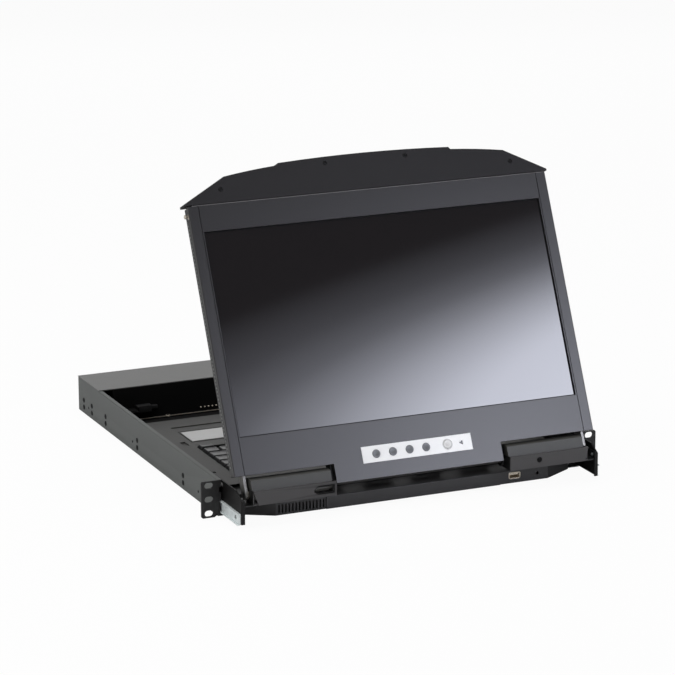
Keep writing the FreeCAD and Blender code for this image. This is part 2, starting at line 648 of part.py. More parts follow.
# ---- LCD carriage -------------------------------------------------------------------------------
def carriage_arm():
    """Side arm: folded inwards at its nose, its upper edge falling to the nose and to the tail."""
    inner = ARM_OUT - ARM_NOSE
    outline = [(inner, ARM_FRONT), (ARM_OUT, ARM_FRONT), (ARM_OUT, ARM_BACK), (ARM_IN, ARM_BACK),
               (ARM_IN, ARM_FRONT + ARM_T), (inner, ARM_FRONT + ARM_T)]
    arm = prism_xy(outline, (ARM_LOW, ARM_TOP))
    bend = straight_edges(arm, Vector(0, 0, 1),
                          lambda c: abs(c.x - ARM_OUT) < 0.01 and abs(c.y - ARM_FRONT) < 0.01)
    arm = arm.makeFillet(BEND_R, bend)
    across = (inner - 1, ARM_OUT + 1)
    above = ARM_TOP + 1
    nose = prism_yz([(ARM_FRONT - 1, NOSE_TOP), (ARM_FRONT, NOSE_TOP), (NOSE_BACK, ARM_TOP),
                     (NOSE_BACK, above), (ARM_FRONT - 1, above)], across)
    tail = prism_yz([(ARM_BACK - ARM_TAPER, above), (ARM_BACK - ARM_TAPER, ARM_TOP), (ARM_BACK, CROSSBAR_Z),
                     (ARM_BACK + 1, CROSSBAR_Z), (ARM_BACK + 1, above)], across)
    return arm.cut(nose).cut(tail).cut(box(across, *ARM_WINDOW))


def bracket_lug(x):
    """Ear of the hinge bracket: it holds the shaft behind the front plate."""
    back = AXIS_Y + 4
    near = PLATE_FRONT + PLATE_LIP
    plate = prism_yz([(near, PLATE_LOW), (back, PLATE_LOW), (AXIS_Y + LUG_R, AXIS_Z),
                      (AXIS_Y, AXIS_Z + LUG_R), (near, PLATE_TOP)], x)
    boss = rod((x[0], AXIS_Y, AXIS_Z), (1, 0, 0), x[1] - x[0], LUG_R)
    hole = rod((x[0] - 1, AXIS_Y, AXIS_Z), (1, 0, 0), x[1] - x[0] + 2, SHAFT_R + RUN)
    return plate.fuse(boss).cut(hole)


def hinge_bracket(slant):
    """Lipped front plate with a lug at each end, tied out to the side arm.  The plate's outer end
    leans in towards its lower edge."""
    section = [(PLATE_FRONT, PLATE_LOW), (PLATE_FRONT, PLATE_TOP),
               (PLATE_FRONT + PLATE_LIP, PLATE_TOP), (PLATE_FRONT + PLATE_LIP, PLATE_TOP - SHEET),
               (PLATE_FRONT + SHEET, PLATE_TOP - SHEET), (PLATE_FRONT + SHEET, PLATE_LOW + SHEET),
               (PLATE_FRONT + PLATE_LIP, PLATE_LOW + SHEET), (PLATE_FRONT + PLATE_LIP, PLATE_LOW)]
    plate = prism_yz(section, (PLATE_IN, PLATE_OUT))
    wedge = prism_xz([(PLATE_OUT + 1, PLATE_LOW), (PLATE_OUT + 1, PLATE_TOP), (PLATE_OUT, PLATE_TOP),
                      (PLATE_OUT - slant, PLATE_LOW)], (PLATE_FRONT - 1, PLATE_FRONT + SHEET))
    lugs = [bracket_lug((PLATE_IN, PLATE_IN + SHEET)), bracket_lug((PLATE_OUT - SHEET, PLATE_OUT))]
    span = (ARM_FRONT + ARM_T + SEAT, AXIS_Y + 14)
    tie_low = PLATE_LOW - TIE_T
    tie = box((PLATE_OUT - SHEET, ARM_IN), span, (tie_low, PLATE_LOW))
    tab = box((ARM_IN - TIE_T, ARM_IN), span, (tie_low, tie_low + TAB_UP))
    return fuse([plate.cut(wedge)] + lugs + [tie, tab])


def left_bracket():
    """Left-hand twin, with its finger slot and the dish pressed round it."""
    bracket = hinge_bracket(SLANT_LEFT)
    slot = plate_slot(FINGER_SLOT, (PLATE_FRONT - 1, PLATE_FRONT + SHEET + 1))
    dish = plate_slot(FINGER_DISH, (PLATE_FRONT - 1, PLATE_FRONT + DISH_DEEP))
    return mirrored(bracket.cut(slot).cut(dish))


def plate_slot(size, span):
    """Slot along the bracket's plate, square inside and rounded at its outer end."""
    start, length, height = size
    z = (PLATE_LOW + PLATE_TOP) / 2
    r = height / 2
    end = PLATE_IN + start + length - r
    body = box((PLATE_IN + start, end), span, (z - r, z + r))
    return body.fuse(rod((end, span[0], z), (0, 1, 0), span[1] - span[0], r))


def right_bracket():
    x, y, z = plate_screw_place()
    return hinge_bracket(SLANT_RIGHT).cut(screw_hole((x, y - 1, z), (0, 1, 0), SHEET + 2))


def plate_screw_place():
    return (PLATE_SCREW_X, PLATE_FRONT, AXIS_Z + 1)


def carriage_crossbar():
    """Channel that ties the two arms together behind the LCD, with a tab up at each end."""
    y0, y1 = CROSSBAR_Y
    z = CROSSBAR_Z
    section = [(y0, z), (y0, z + CROSSBAR_LIP), (y0 + SHEET, z + CROSSBAR_LIP), (y0 + SHEET, z + SHEET),
               (y1 - SHEET, z + SHEET), (y1 - SHEET, z + CROSSBAR_LIP), (y1, z + CROSSBAR_LIP), (y1, z)]
    bar = prism_yz(section, (-ARM_IN, ARM_IN))
    slots = [box((x - 12, x + 12), (y0 + 12, y1 - 12), (z - 1, z + 3)) for x in (-120, -60, 0, 60, 120)]
    tab = box((ARM_IN - TIE_T, ARM_IN), (y0, y1), (z, z + TAB_UP))
    return fuse([bar, tab, mirrored(tab)]).cut(group(slots))


def carriage_screws():
    """Screws of the carriage: tabs to arm, slide to arm, and the right bracket's face screw."""
    flat = [(2.4, 0), (1.8, 0.8)]
    tab_z = CROSSBAR_Z + TAB_UP - 2.8
    slide_z = (SLIDE_Z[0] + SLIDE_Z[1]) / 2
    pieces = [screw(plate_screw_place(), (0, -1, 0), (SCREW_HEAD_R, SCREW_HEAD_T), SHEET)]
    for side in (-1, 1):
        for y in (AXIS_Y - 9, AXIS_Y + 9, CROSSBAR_Y[0] + 6, CROSSBAR_Y[1] - 6):
            pieces.append(many_sided(flat, (side * (ARM_IN - TIE_T), y, tab_z), (-side, 0, 0)))
        for y in (ARM_FRONT + 14, 12.0, ARM_BACK - 12):
            place = (side * (ARM_OUT + SLIDE_INNER_T), y, slide_z)
            pieces.append(many_sided(flat, place, (side, 0, 0)))
    return group(pieces)


# ---- LCD module, drawn about the hinge axis -----------------------------------------------------
def lcd_outline(half, notch, inset=0):
    """The LCD's outline: full width above, a narrower tongue between the hinges."""
    wide, narrow = half - inset, HALF_TONGUE - inset
    low, step, high = -TONGUE_DOWN + inset, notch + inset, BEZEL_UP - inset
    side = [(narrow, low), (narrow, step), (wide, step), (wide, high)]
    return side + [(-a, b) for a, b in reversed(side)]


def side_edges(shape, half, level):
    """The long edges of an LCD plate at its sides, on one of its faces."""
    return straight_edges(shape, Vector(0, 1, 0),
                          lambda c: abs(c.z - level) < 0.1 and abs(abs(c.x) - half) < 0.1)


def board_posts():
    return [(side * BOARD_POST_X, y) for side in (-1, 1) for y in BOARD_POST_UP]


def lcd_back_cover():
    """Rear shell, with the plate that carries the handle, board posts and the cheeks' slots."""
    shell = prism_xy(lcd_outline(HALF_LCD, NOTCH_BACK), (LCD_BACK, BEZEL_BACK - SEAT))
    shell = shell.makeFillet(3.0, side_edges(shell, HALF_LCD, LCD_BACK))
    hollow = prism_xy(lcd_outline(HALF_LCD, NOTCH_BACK, LCD_WALL), (LCD_BACK + LCD_WALL, BEZEL_BACK + 1))
    x0, x1 = cheek_outer()
    for span in ((x0 - SEAT, x1 + SEAT), (-x1 - SEAT, -x0 + SEAT)):
        hollow = hollow.fuse(box(span, (NOTCH_BACK - 1, NOTCH_BACK + 3), (-CHEEK_R - SEAT, CHEEK_R + SEAT)))
    shell = shell.cut(hollow)
    w, up = SHOULDER_X - 4, BEZEL_UP + SHOULDER_RISE - 4
    tail = prism_xy([(HALF_LCD - 6, BEZEL_UP - 1), (w, up), (-w, up), (-HALF_LCD + 6, BEZEL_UP - 1)],
                    (LCD_BACK, LCD_BACK + LCD_WALL))
    posts = [standoff((x, y, LCD_BACK + 1), board_low() - LCD_BACK - 1) for x, y in board_posts()]
    return fuse([shell, tail] + posts)


def board_low():
    return FACE_TO_AXIS - 10.4


def lcd_bezel():
    """Front frame round the screen, wider than the housing, with a fine groove down each rail and
    the control strip's window."""
    plate = prism_xy(lcd_outline(HALF_BEZEL, NOTCH_UP), (BEZEL_BACK, FACE_TO_AXIS))
    plate = plate.makeFillet(1.2, side_edges(plate, HALF_BEZEL, FACE_TO_AXIS))
    depth = (BEZEL_BACK - 1, FACE_TO_AXIS + 1)
    screen = box((-HALF_SCREEN, HALF_SCREEN), (SCREEN_UP, SCREEN_UP + SCREEN_H), depth)
    w, h = STRIP_W / 2 + 0.15, STRIP_H / 2 + 0.15
    window = box((-w, w), (STRIP_UP - h, STRIP_UP + h), depth)
    middle = HALF_BEZEL - GROOVE_IN
    groove = box((middle - GROOVE / 2, middle + GROOVE / 2), (NOTCH_UP - 1, BEZEL_UP + 1),
                 (FACE_TO_AXIS - GROOVE, FACE_TO_AXIS + 1))
    return plate.cut(screen).cut(window).cut(groove).cut(mirrored(groove))


def lcd_panel():
    """Panel with its glass, pressed against the back of the bezel."""
    margin = 3.0
    glass = box((-HALF_SCREEN - margin, HALF_SCREEN + margin),
                (SCREEN_UP - margin, SCREEN_UP + SCREEN_H + margin), (BEZEL_BACK - 2.0, BEZEL_BACK))
    frame = box((-HALF_SCREEN - 1, HALF_SCREEN + 1),
                (SCREEN_UP - 1, SCREEN_UP + SCREEN_H + 1), (LCD_BACK + LCD_WALL + SEAT, BEZEL_BACK - 2.0))
    return fuse([glass, frame])


def handle_outline():
    """Front edge of the handle: straight shoulders, then two slightly crowned arcs and a crest."""
    shoulder = (SHOULDER_X, BEZEL_UP + SHOULDER_RISE)
    step = (STEP_X, BEZEL_UP + STEP_RISE)
    crest_end = (STEP_X - 2.0, step[1] + 2.6)
    edges = [Part.LineSegment(Vector(-HALF_HANDLE, BEZEL_TOP, 0), Vector(HALF_HANDLE, BEZEL_TOP, 0))]
    for side in (1, -1):
        corner = Vector(side * HALF_HANDLE, BEZEL_TOP, 0)
        side_top = Vector(side * HALF_HANDLE, BEZEL_TOP + 2.5, 0)
        start = Vector(side * shoulder[0], shoulder[1], 0)
        end = Vector(side * step[0], step[1], 0)
        crown = (start + end) * 0.5 + Vector(0, 0.7, 0)
        edges += [Part.LineSegment(corner, side_top), Part.LineSegment(side_top, start),
                  Part.Arc(start, crown, end),
                  Part.LineSegment(end, Vector(side * crest_end[0], crest_end[1], 0))]
    edges.append(Part.Arc(Vector(crest_end[0], crest_end[1], 0), Vector(0, BEZEL_UP + CREST_RISE, 0),
                          Vector(-crest_end[0], crest_end[1], 0)))
    return Part.Wire(Part.sortEdges([edge.toShape() for edge in edges])[0])


def lcd_handle():
    """Upper handle: a moulded cap hollow from behind, on the housing's carrying plate."""
    low = LCD_BACK + LCD_WALL
    high = FACE_TO_AXIS + HANDLE_PROUD
    cap = Part.Face(handle_outline()).extrude(Vector(0, 0, high - low))
    cap.translate(Vector(0, 0, low))
    rim = [e for e in cap.Edges if e.BoundBox.ZMin > high - 0.01 and e.CenterOfMass.y > BEZEL_UP + 6]
    cap = cap.makeChamfer(HANDLE_CHAMFER, rim)
    base = BEZEL_TOP + HANDLE_WALL
    shoulder = BEZEL_UP + SHOULDER_RISE
    half = [(SHOULDER_X + 24, base), (SHOULDER_X - 4, shoulder - 6), (STEP_X - 6, shoulder + 1.5)]
    inside = prism_xy(half + [(-a, b) for a, b in reversed(half)], (low - 1, high - HANDLE_WALL))
    places = [(s * x, y, 0) for x, y in HANDLE_SCREWS for s in (-1, 1)]
    columns = [many_sided([(4.5, low), (4.5, high - HANDLE_WALL)], place, (0, 0, 1)) for place in places]
    sinks = [many_sided([(SINK_R, high - SINK), (SINK_R, high + 1)], place, (0, 0, 1)) for place in places]
    return cap.cut(inside.cut(group(columns))).cut(group(sinks))


def handle_screws():
    high = FACE_TO_AXIS + HANDLE_PROUD
    head = [(SINK_R - 0.2, 0), (SINK_R - 0.2, 0.5), (SINK_R - 1.0, 0.9)]
    return group([many_sided(head, (s * x, y, high - SINK), (0, 0, 1))
                  for x, y in HANDLE_SCREWS for s in (-1, 1)])


def barrel_span():
    return PLATE_IN + SHEET + 0.5, PLATE_OUT - SHEET - 0.5


def hinge_barrel():
    """Rounded hinge cover on the shaft: part of a drum about the axis, cut flat in front, level with
    the housing's back and just past the axis."""
    x0, x1 = barrel_span()
    drum = rod((x0, 0, 0), (1, 0, 0), x1 - x0, BARREL_R)
    keep = box((x0 - 1, x1 + 1), (-BARREL_DOWN, BARREL_R + 1), (LCD_BACK + BARREL_BACK, BARREL_FRONT))
    bore = rod((x0 - 1, 0, 0), (1, 0, 0), x1 - x0 + 2, SHAFT_R)
    return drum.common(keep).cut(bore)


def cheek_outer():
    return PLATE_OUT + 1.1, PLATE_OUT + 1.1 + CHEEK_T


def hinge_cheeks():
    """Four plates that carry the shafts: two on the tongue's sides, two out of the notches."""
    pieces = []
    for span, reach in (((HALF_TONGUE, HALF_TONGUE + CHEEK_T), NOTCH_BACK - SEAT),
                        (cheek_outer(), NOTCH_BACK + 20)):
        x0, x1 = span
        plate = box((x0, x1), (0, reach), (-CHEEK_R, CHEEK_R))
        boss = rod((x0, 0, 0), (1, 0, 0), x1 - x0, CHEEK_R)
        cheek = plate.fuse(boss).removeSplitter()
        cheek = cheek.cut(rod((x0 - 1, 0, 0), (1, 0, 0), x1 - x0 + 2, SHAFT_R))
        pieces += [cheek, mirrored(cheek)]
    return group(pieces)


def hinge_shafts():
    """A shaft for each hinge: it turns with the LCD in the bracket's lugs."""
    x0, x1 = HALF_TONGUE, cheek_outer()[1]
    shaft = rod((x0, 0, 0), (1, 0, 0), x1 - x0, SHAFT_R)
    return group([shaft, mirrored(shaft)])


def control_strip():
    """Pale strip with the buttons' and the lamp's holes."""
    w, h = STRIP_W / 2, STRIP_H / 2
    strip = box((-w, w), (STRIP_UP - h, STRIP_UP + h), (BEZEL_BACK, LED_Z))
    through = (BEZEL_BACK - 1, BEZEL_BACK + BEZEL_T + 2)
    for x in OSD_BUTTON_X + (POWER_BUTTON_X,):
        rings = [(BUTTON_R + 0.25, level) for level in through]
        strip = strip.cut(many_sided(rings, (x, STRIP_UP, 0), (0, 0, 1), BUTTON_SIDES))
    return strip.cut(rod((LED_X, STRIP_UP, BEZEL_BACK - 1), (0, 0, 1), BEZEL_T + 3, LED_R + 0.1))


def strip_button(x):
    """Button cap with a dished face and a flange that keeps it behind the strip."""
    top = LED_Z + BUTTON_PROUD
    low = board_low() + 1.6 + 1.2 + BUTTON_TRAVEL + 0.1
    stop = BEZEL_BACK - SEAT
    flange = [(BUTTON_R + 0.8, low), (BUTTON_R + 0.8, stop)]
    face = [(BUTTON_R, stop), (BUTTON_R, top - 0.5), (BUTTON_R - 0.5, top)]
    dish = [(0.4, top - 0.5), (BUTTON_R - 1.6, top)]
    flange, face, dish = [many_sided(rings, (x, STRIP_UP, 0), (0, 0, 1), BUTTON_SIDES)
                          for rings in (flange, face, dish)]
    return fuse([flange, face]).cut(dish)


def power_led():
    return rod((LED_X, STRIP_UP, BEZEL_BACK - 1), (0, 0, 1), BEZEL_T + 1 + STRIP_PROUD + 0.2, LED_R)


def lcd_board():
    """Control board behind the strip with a switch under each button."""
    low = board_low()
    board = box((-84, 84), (2, 46), (low, low + 1.6))
    switches = [box((x - 3, x + 3), (STRIP_UP - 3, STRIP_UP + 3), (low + 1.6, low + 2.8))
                for x in OSD_BUTTON_X + (POWER_BUTTON_X,)]
    lamp = box((LED_X - 1.5, LED_X + 1.5), (STRIP_UP - 1.5, STRIP_UP + 1.5),
               (low + 1.6, BEZEL_BACK - 1 - SEAT))
    return fuse([board] + switches + [lamp])


def latch_pins():
    """Pins on the LCD's sides that drop behind the ears when it is stowed."""
    neck = PIN_R - 0.8
    rings = [(PIN_R + 0.6, 0), (neck, 1.0), (neck, PIN_OUT - 1.4), (PIN_R, PIN_OUT - 1.0), (PIN_R, PIN_OUT)]
    return group([many_sided(rings, (s * HALF_LCD, PIN_UP, PIN_Z), (s, 0, 0)) for s in (-1, 1)])


# ---- keyboard module ----------------------------------------------------------------------------
def keyboard_tray():
    """Shallow pan with posts for the key plate."""
    half = HALF_TRAY
    pan = box((-half, half), (KB_FRONT, KB_BACK), (TRAY_LOW, DECK_LOW))
    hollow = box((-half + KB_SHEET, half - KB_SHEET), (KB_FRONT + KB_SHEET, KB_BACK - KB_SHEET),
                 (TRAY_FLOOR, DECK_LOW + 1))
    plate_low = KEY_PLATE_TOP - KEY_PLATE_T
    posts = [standoff((x, y, TRAY_FLOOR), plate_low - TRAY_FLOOR)
             for x in (-TRAY_POST_X, -TRAY_POST_X / 3, TRAY_POST_X / 3, TRAY_POST_X)
             for y in (KEY_FIELD_FRONT + 10, KEY_PLATE_BACK - 15)]
    return fuse([pan.cut(hollow)] + posts)


def key_rows():
    """Rows from the front: front edge, depth and the keys' widths in key units."""
    pad = [1, 1, 1]
    layouts = [[1.25, 1.25, 1.25, 5.5, 1.25, 1.25, 1.25, 1, 1] + [0.25] + pad,
               [2.25] + [1] * 10 + [2.75] + [0.25] + [-1, 1, -1],
               [1.75] + [1] * 11 + [2.25] + [0.25] + pad,
               [1.5] + [1] * 12 + [1.5] + [0.25] + pad,
               [1] * 13 + [2] + [0.25] + pad,
               [1, -1] + [1] * 4 + [-0.5] + [1] * 4 + [-0.5] + [1] * 4 + [0.25] + pad]
    rows = [(KEY_FIELD_FRONT + i * KEY_ROW, KEY_ROW, layout) for i, layout in enumerate(layouts)]
    function_front = KEY_FIELD_FRONT + 5 * KEY_ROW + FUNCTION_GAP
    rows[5] = (function_front, FUNCTION_ROW, layouts[5])
    return rows


def key_row(front, depth, layout):
    """Tapered key caps; a negative width is a gap, and 0.25 the gap before the cursor block."""
    total = sum(abs(w) for w in layout) * KEY_UNIT
    x = -total / 2
    caps = []
    for width in layout:
        step = abs(width) * KEY_UNIT
        if width > 0.25:
            x0, x1 = x + KEY_GAP / 2, x + step - KEY_GAP / 2
            y0, y1 = front + KEY_GAP / 2, front + depth - KEY_GAP / 2
            caps.append(tapered(x0, x1, y0, y1))
        x += step
    return group(caps)


def tapered(x0, x1, y0, y1):
    """One cap: straight skirt, then sides that lean in to a smaller top."""
    skirt = POCKET_FLOOR + 0.4
    t = KEY_TAPER
    lower = [Vector(x0, y0, skirt), Vector(x1, y0, skirt), Vector(x1, y1, skirt), Vector(x0, y1, skirt)]
    upper = [Vector(x0 + t, y0 + t, KEY_TOP), Vector(x1 - t, y0 + t, KEY_TOP),
             Vector(x1 - t, y1 - t * 0.6, KEY_TOP), Vector(x0 + t, y1 - t * 0.6, KEY_TOP)]
    wires = [Part.makePolygon(ring + ring[:1]) for ring in (lower, upper)]
    cap = Part.makeLoft(wires, True, True)
    return fuse([cap, box((x0, x1), (y0, y1), (KEY_LOW, skirt))])


def keyboard_deck():
    """Top cover: a shallow pocket holds the keys' slots and the panel strip; touchpad in front."""
    deck = box((-HALF_DECK, HALF_DECK), (KB_FRONT, KB_BACK), (DECK_LOW, DECK_TOP))
    deck = deck.makeChamfer(0.8, [e for e in deck.Edges if e.BoundBox.ZMin > DECK_TOP - 0.01])
    pocket = box((-HALF_POCKET, HALF_POCKET), POCKET_Y, (POCKET_FLOOR, DECK_TOP + 1))
    line = STRIP_PANEL_W / 2 + 0.8
    ring = box((-line - 1.2, line + 1.2), (STRIP_PANEL_Y[0] - 2, STRIP_PANEL_Y[1] + 6.0),
               (POCKET_FLOOR - 0.5, POCKET_FLOOR + 0.5))
    ring = ring.cut(box((-line, line), (STRIP_PANEL_Y[0] - 0.8, STRIP_PANEL_Y[1] + 4.8),
                        (POCKET_FLOOR - 1, POCKET_FLOOR + 1)))
    cuts = [pocket, ring]
    through = (DECK_LOW - 1, DECK_TOP + 1)
    for front, depth, layout in key_rows():
        cuts.append(box((-HALF_FIELD + 0.3, HALF_FIELD - 0.3), (front + 0.3, front + depth - 0.3), through))
    w, d = TOUCHPAD[0] / 2 + 0.25, TOUCHPAD[1] + 0.5
    cuts.append(box((-w, w), (TOUCHPAD_Y - 0.25, TOUCHPAD_Y + d - 0.25), through))
    for x in touch_button_x():
        cuts.append(box((x - 0.25, x + TOUCH_BUTTON[0] + 0.25),
                        (TOUCH_BUTTON_Y - 0.25, TOUCH_BUTTON_Y + TOUCH_BUTTON[1] + 0.25), through))
    dent = (DECK_TOP - 1.4, DECK_TOP + 1)
    for (outer, inner), span in ((REAR_DENT_OUT, REAR_DENT_Y), (FRONT_DENT_OUT, FRONT_DENT_Y)):
        cuts.append(box((-HALF_POCKET - outer, -HALF_POCKET - inner), span, dent))
    return deck.cut(group(cuts))


def touch_button_x():
    return (-TOUCH_BUTTON[0] - 0.5, 0.5)


def touch_button(x):
    cap = box((x, x + TOUCH_BUTTON[0]), (TOUCH_BUTTON_Y, TOUCH_BUTTON_Y + TOUCH_BUTTON[1]),
              (DECK_LOW - 0.5, DECK_TOP - 0.1))
    return cap.makeFillet(0.5, [e for e in cap.Edges if e.BoundBox.ZMin > DECK_TOP - 0.11])


def touchpad():
    w = TOUCHPAD[0] / 2
    pad = box((-w, w), (TOUCHPAD_Y, TOUCHPAD_Y + TOUCHPAD[1]), (DECK_LOW - 1.5, DECK_TOP - 0.4))
    return pad


def key_plate():
    """Switch plate under the keys, on the tray's posts."""
    half = HALF_POCKET + 4
    return box((-half, half), (POCKET_Y[0] - 4, KEY_PLATE_BACK), (KEY_PLATE_TOP - KEY_PLATE_T, KEY_PLATE_TOP))


def panel_strip():
    """Plain pale strip behind the keys."""
    half = STRIP_PANEL_W / 2
    return box((-half, half), STRIP_PANEL_Y, (POCKET_FLOOR, POCKET_FLOOR + STRIP_PANEL_T))


def grip_outline(inset, back):
    wide, shoulder = HALF_GRIP - inset, GRIP_SHOULDER - inset / 2
    half = [(wide, back), (wide, GRIP_SIDE + inset / 2), (shoulder, GRIP_FRONT + inset)]
    return half + [(-a, b) for a, b in reversed(half)]


def keyboard_handle():
    """Lower handle: moulded cap, open behind, with the vent slots, the USB socket and a pin hole."""
    back = KB_FRONT - SEAT
    cap = prism_xy(grip_outline(0, back), (GRIP_LOW, GRIP_TOP))
    uprights = straight_edges(cap, Vector(0, 0, 1), lambda c: c.y < GRIP_SIDE + 1)
    cap = cap.makeFillet(2.0, uprights)
    pad = box((-GRIP_PAD, GRIP_PAD), (GRIP_FRONT - GRIP_PAD_T, GRIP_FRONT + 1), (GRIP_LOW, GRIP_TOP))
    cap = fuse([cap, pad])
    top = [e for e in cap.Edges if e.BoundBox.ZMin > GRIP_TOP - 0.01 and e.CenterOfMass.y < GRIP_SIDE - 3]
    cap = cap.makeFillet(0.7, top)
    inside = prism_xy(grip_outline(GRIP_WALL, back + 1), (GRIP_LOW + GRIP_WALL, GRIP_TOP - GRIP_WALL))
    cuts = [inside]
    pitch = (VENT_X[1] - VENT_X[0]) / VENT_SLOTS
    for i in range(VENT_SLOTS):
        x = VENT_X[0] + (i + 0.5) * pitch
        cuts.append(box((x - VENT_SLOT_W / 2, x + VENT_SLOT_W / 2),
                        (GRIP_FRONT - 2, GRIP_FRONT + GRIP_WALL + 1), VENT_Z))
    w, h = USB_SIZE[0] / 2 + 0.3, USB_SIZE[1] / 2 + 0.3
    cuts.append(box((USB_X - w, USB_X + w), (GRIP_FRONT - 2, GRIP_FRONT + GRIP_WALL + 1),
                    (USB_Z - h, USB_Z + h)))
    cuts.append(rod((RESET_X, GRIP_FRONT - 2, USB_Z - 1), (0, 1, 0), GRIP_WALL + 4, RESET_R))
    return cap.cut(group(cuts))


def usb_socket():
    """USB socket's folded shell with its contact tongue, behind the handle's face."""
    w, h = USB_SIZE[0] / 2, USB_SIZE[1] / 2
    y = (GRIP_FRONT - 0.3, GRIP_FRONT + USB_SIZE[2])
    can = box((USB_X - w, USB_X + w), y, (USB_Z - h, USB_Z + h))
    t = USB_SHELL
    hollow = box((USB_X - w + t, USB_X + w - t), (y[0] - 1, y[1] - 1.5), (USB_Z - h + t, USB_Z + h - t))
    wide, thick = USB_TONGUE
    low = USB_Z + 0.2
    tongue = box((USB_X - wide / 2, USB_X + wide / 2), (y[0] + 2, y[1] - 1), (low, low + thick))
    foot = box((USB_X - w, USB_X + w), (GRIP_FRONT + GRIP_WALL + 1, y[1]),
               (GRIP_LOW + GRIP_WALL, USB_Z - h))
    return fuse([can.cut(hollow), tongue, foot])


# ---- build --------------------------------------------------------------------------------------
def build_chassis():
    save("chassis_tray", chassis_tray())
    save("side_screws", side_screws())
    save_pair("rack_ear", rack_ear())
    save("rear_cover", rear_cover())
    save("cover_screws", cover_screws())
    save("bay_wall", bay_wall())
    save("rear_panel", rear_panel())
    save("main_board", main_board())
    save("power_supply", power_supply())
    save("power_inlet", power_inlet())
    save("power_switch", power_switch())
    save("console_sockets", console_sockets())
    save_pair("lcd_slide_outer", lcd_slide_outer())
    save_pair("keyboard_slide_outer", keyboard_slide_outer())


def build_carriage():
    save_pair("carriage_arm", carriage_arm())
    save_pair("lcd_slide_inner", lcd_slide_inner())
    save_pair("hinge_bracket", right_bracket(), left_bracket())
    save("carriage_crossbar", carriage_crossbar())
    save("carriage_screws", carriage_screws())


def build_lcd():
    save("lcd_back_cover", to_open(lcd_back_cover()))
    save("lcd_bezel", to_open(lcd_bezel()))
    save("lcd_panel", to_open(lcd_panel()))
    save("lcd_handle", to_open(lcd_handle()))
    save("handle_screws", to_open(handle_screws()))
    save_pair("hinge_barrel", to_open(hinge_barrel()))
    save("hinge_cheeks", to_open(hinge_cheeks()))
    save("hinge_shafts", to_open(hinge_shafts()))
    save("control_strip", to_open(control_strip()))
    save("power_led", to_open(power_led()))
    save("lcd_board", to_open(lcd_board()))
    save("latch_pins", to_open(latch_pins()))
    for number, x in enumerate(OSD_BUTTON_X, 1):
        save("osd_button_%d" % number, to_open(strip_button(x)))
    save("lcd_power_button", to_open(strip_button(POWER_BUTTON_X)))


def build_keyboard():
    save("keyboard_tray", keyboard_tray())
    save("keyboard_deck", keyboard_deck())
    save("keyboard_handle", keyboard_handle())
    save("usb_socket", usb_socket())
    save("panel_strip", panel_strip())
    save("key_plate", key_plate())
    save_pair("keyboard_slide_inner", keyboard_slide_inner())
    names = ("space", "shift", "home", "upper", "number", "function")
    for name, row in zip(names, key_rows()):
        save("key_row_" + name, key_row(*row))
    save("touchpad", touchpad())
    for name, x in zip(("left", "right"), touch_button_x()):
        save("touch_button_" + name, touch_button(x))


os.makedirs("parts", exist_ok=True)
build_chassis()
build_carriage()
build_lcd()
build_keyboard()
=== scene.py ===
# %% [markdown]
# # A one-unit rack console, dressed for the camera
#
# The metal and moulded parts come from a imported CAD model: a shallow chassis, an LCD module that
# slides and tips on its own carriage, and a keyboard module stowed under it. This lesson gives each
# of them its finish, adds the small pieces that make the object real, and lights it on a white
# floor. Lengths are in metres, X runs to the right, Y into the rack and Z up.

# %% Load the frame
import json
import math

import bmesh
import bpy
from mathutils import Matrix, Vector


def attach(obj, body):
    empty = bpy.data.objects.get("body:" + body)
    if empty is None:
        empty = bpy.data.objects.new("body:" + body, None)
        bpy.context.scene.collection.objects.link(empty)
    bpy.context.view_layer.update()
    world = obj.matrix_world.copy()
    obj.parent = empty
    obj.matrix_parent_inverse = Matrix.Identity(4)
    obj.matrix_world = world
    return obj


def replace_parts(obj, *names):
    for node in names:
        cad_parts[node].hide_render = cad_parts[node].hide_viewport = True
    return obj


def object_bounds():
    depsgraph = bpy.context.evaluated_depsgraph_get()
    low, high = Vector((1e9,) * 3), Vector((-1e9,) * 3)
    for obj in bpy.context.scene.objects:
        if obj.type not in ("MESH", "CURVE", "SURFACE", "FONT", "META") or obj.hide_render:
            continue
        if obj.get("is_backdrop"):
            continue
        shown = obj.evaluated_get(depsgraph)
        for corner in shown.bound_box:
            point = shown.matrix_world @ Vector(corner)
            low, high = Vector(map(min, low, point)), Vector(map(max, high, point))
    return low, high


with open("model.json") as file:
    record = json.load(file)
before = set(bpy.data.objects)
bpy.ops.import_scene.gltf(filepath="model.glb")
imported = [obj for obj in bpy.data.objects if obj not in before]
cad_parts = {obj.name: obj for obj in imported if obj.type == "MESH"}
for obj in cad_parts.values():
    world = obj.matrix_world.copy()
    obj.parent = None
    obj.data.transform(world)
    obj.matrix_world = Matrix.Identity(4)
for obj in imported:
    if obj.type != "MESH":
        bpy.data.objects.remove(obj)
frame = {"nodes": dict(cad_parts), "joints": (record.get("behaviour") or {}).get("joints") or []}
nodes = frame["nodes"]
cad_low, cad_high = [list(corner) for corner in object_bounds()]
MM = 0.001

# %% [markdown]
# The LCD is tipped back, so its pieces are easier to think about in its own frame: X across, Y up
# the screen from the hinge axis, and Z out of the screen. The lean could be typed in as an angle,
# but the frame knows it already: the tilt joint says where the axis is, and the way that a button
# is pressed says how far the screen leans. One matrix then carries a piece into the room.

# %% The LCD's own frame
joints = {joint["name"]: joint for joint in frame["joints"]}
tilt_axis = Vector(joints["lcd_tilt"]["pos_m"])
press_way = Vector(joints["osd_button_1_press"]["axis"])
screen_pitch = math.atan2(press_way.y, -press_way.z)
LCD = Matrix.Translation(tilt_axis) @ Matrix.Rotation(screen_pitch, 4, "X")
TO_LCD = LCD.inverted()


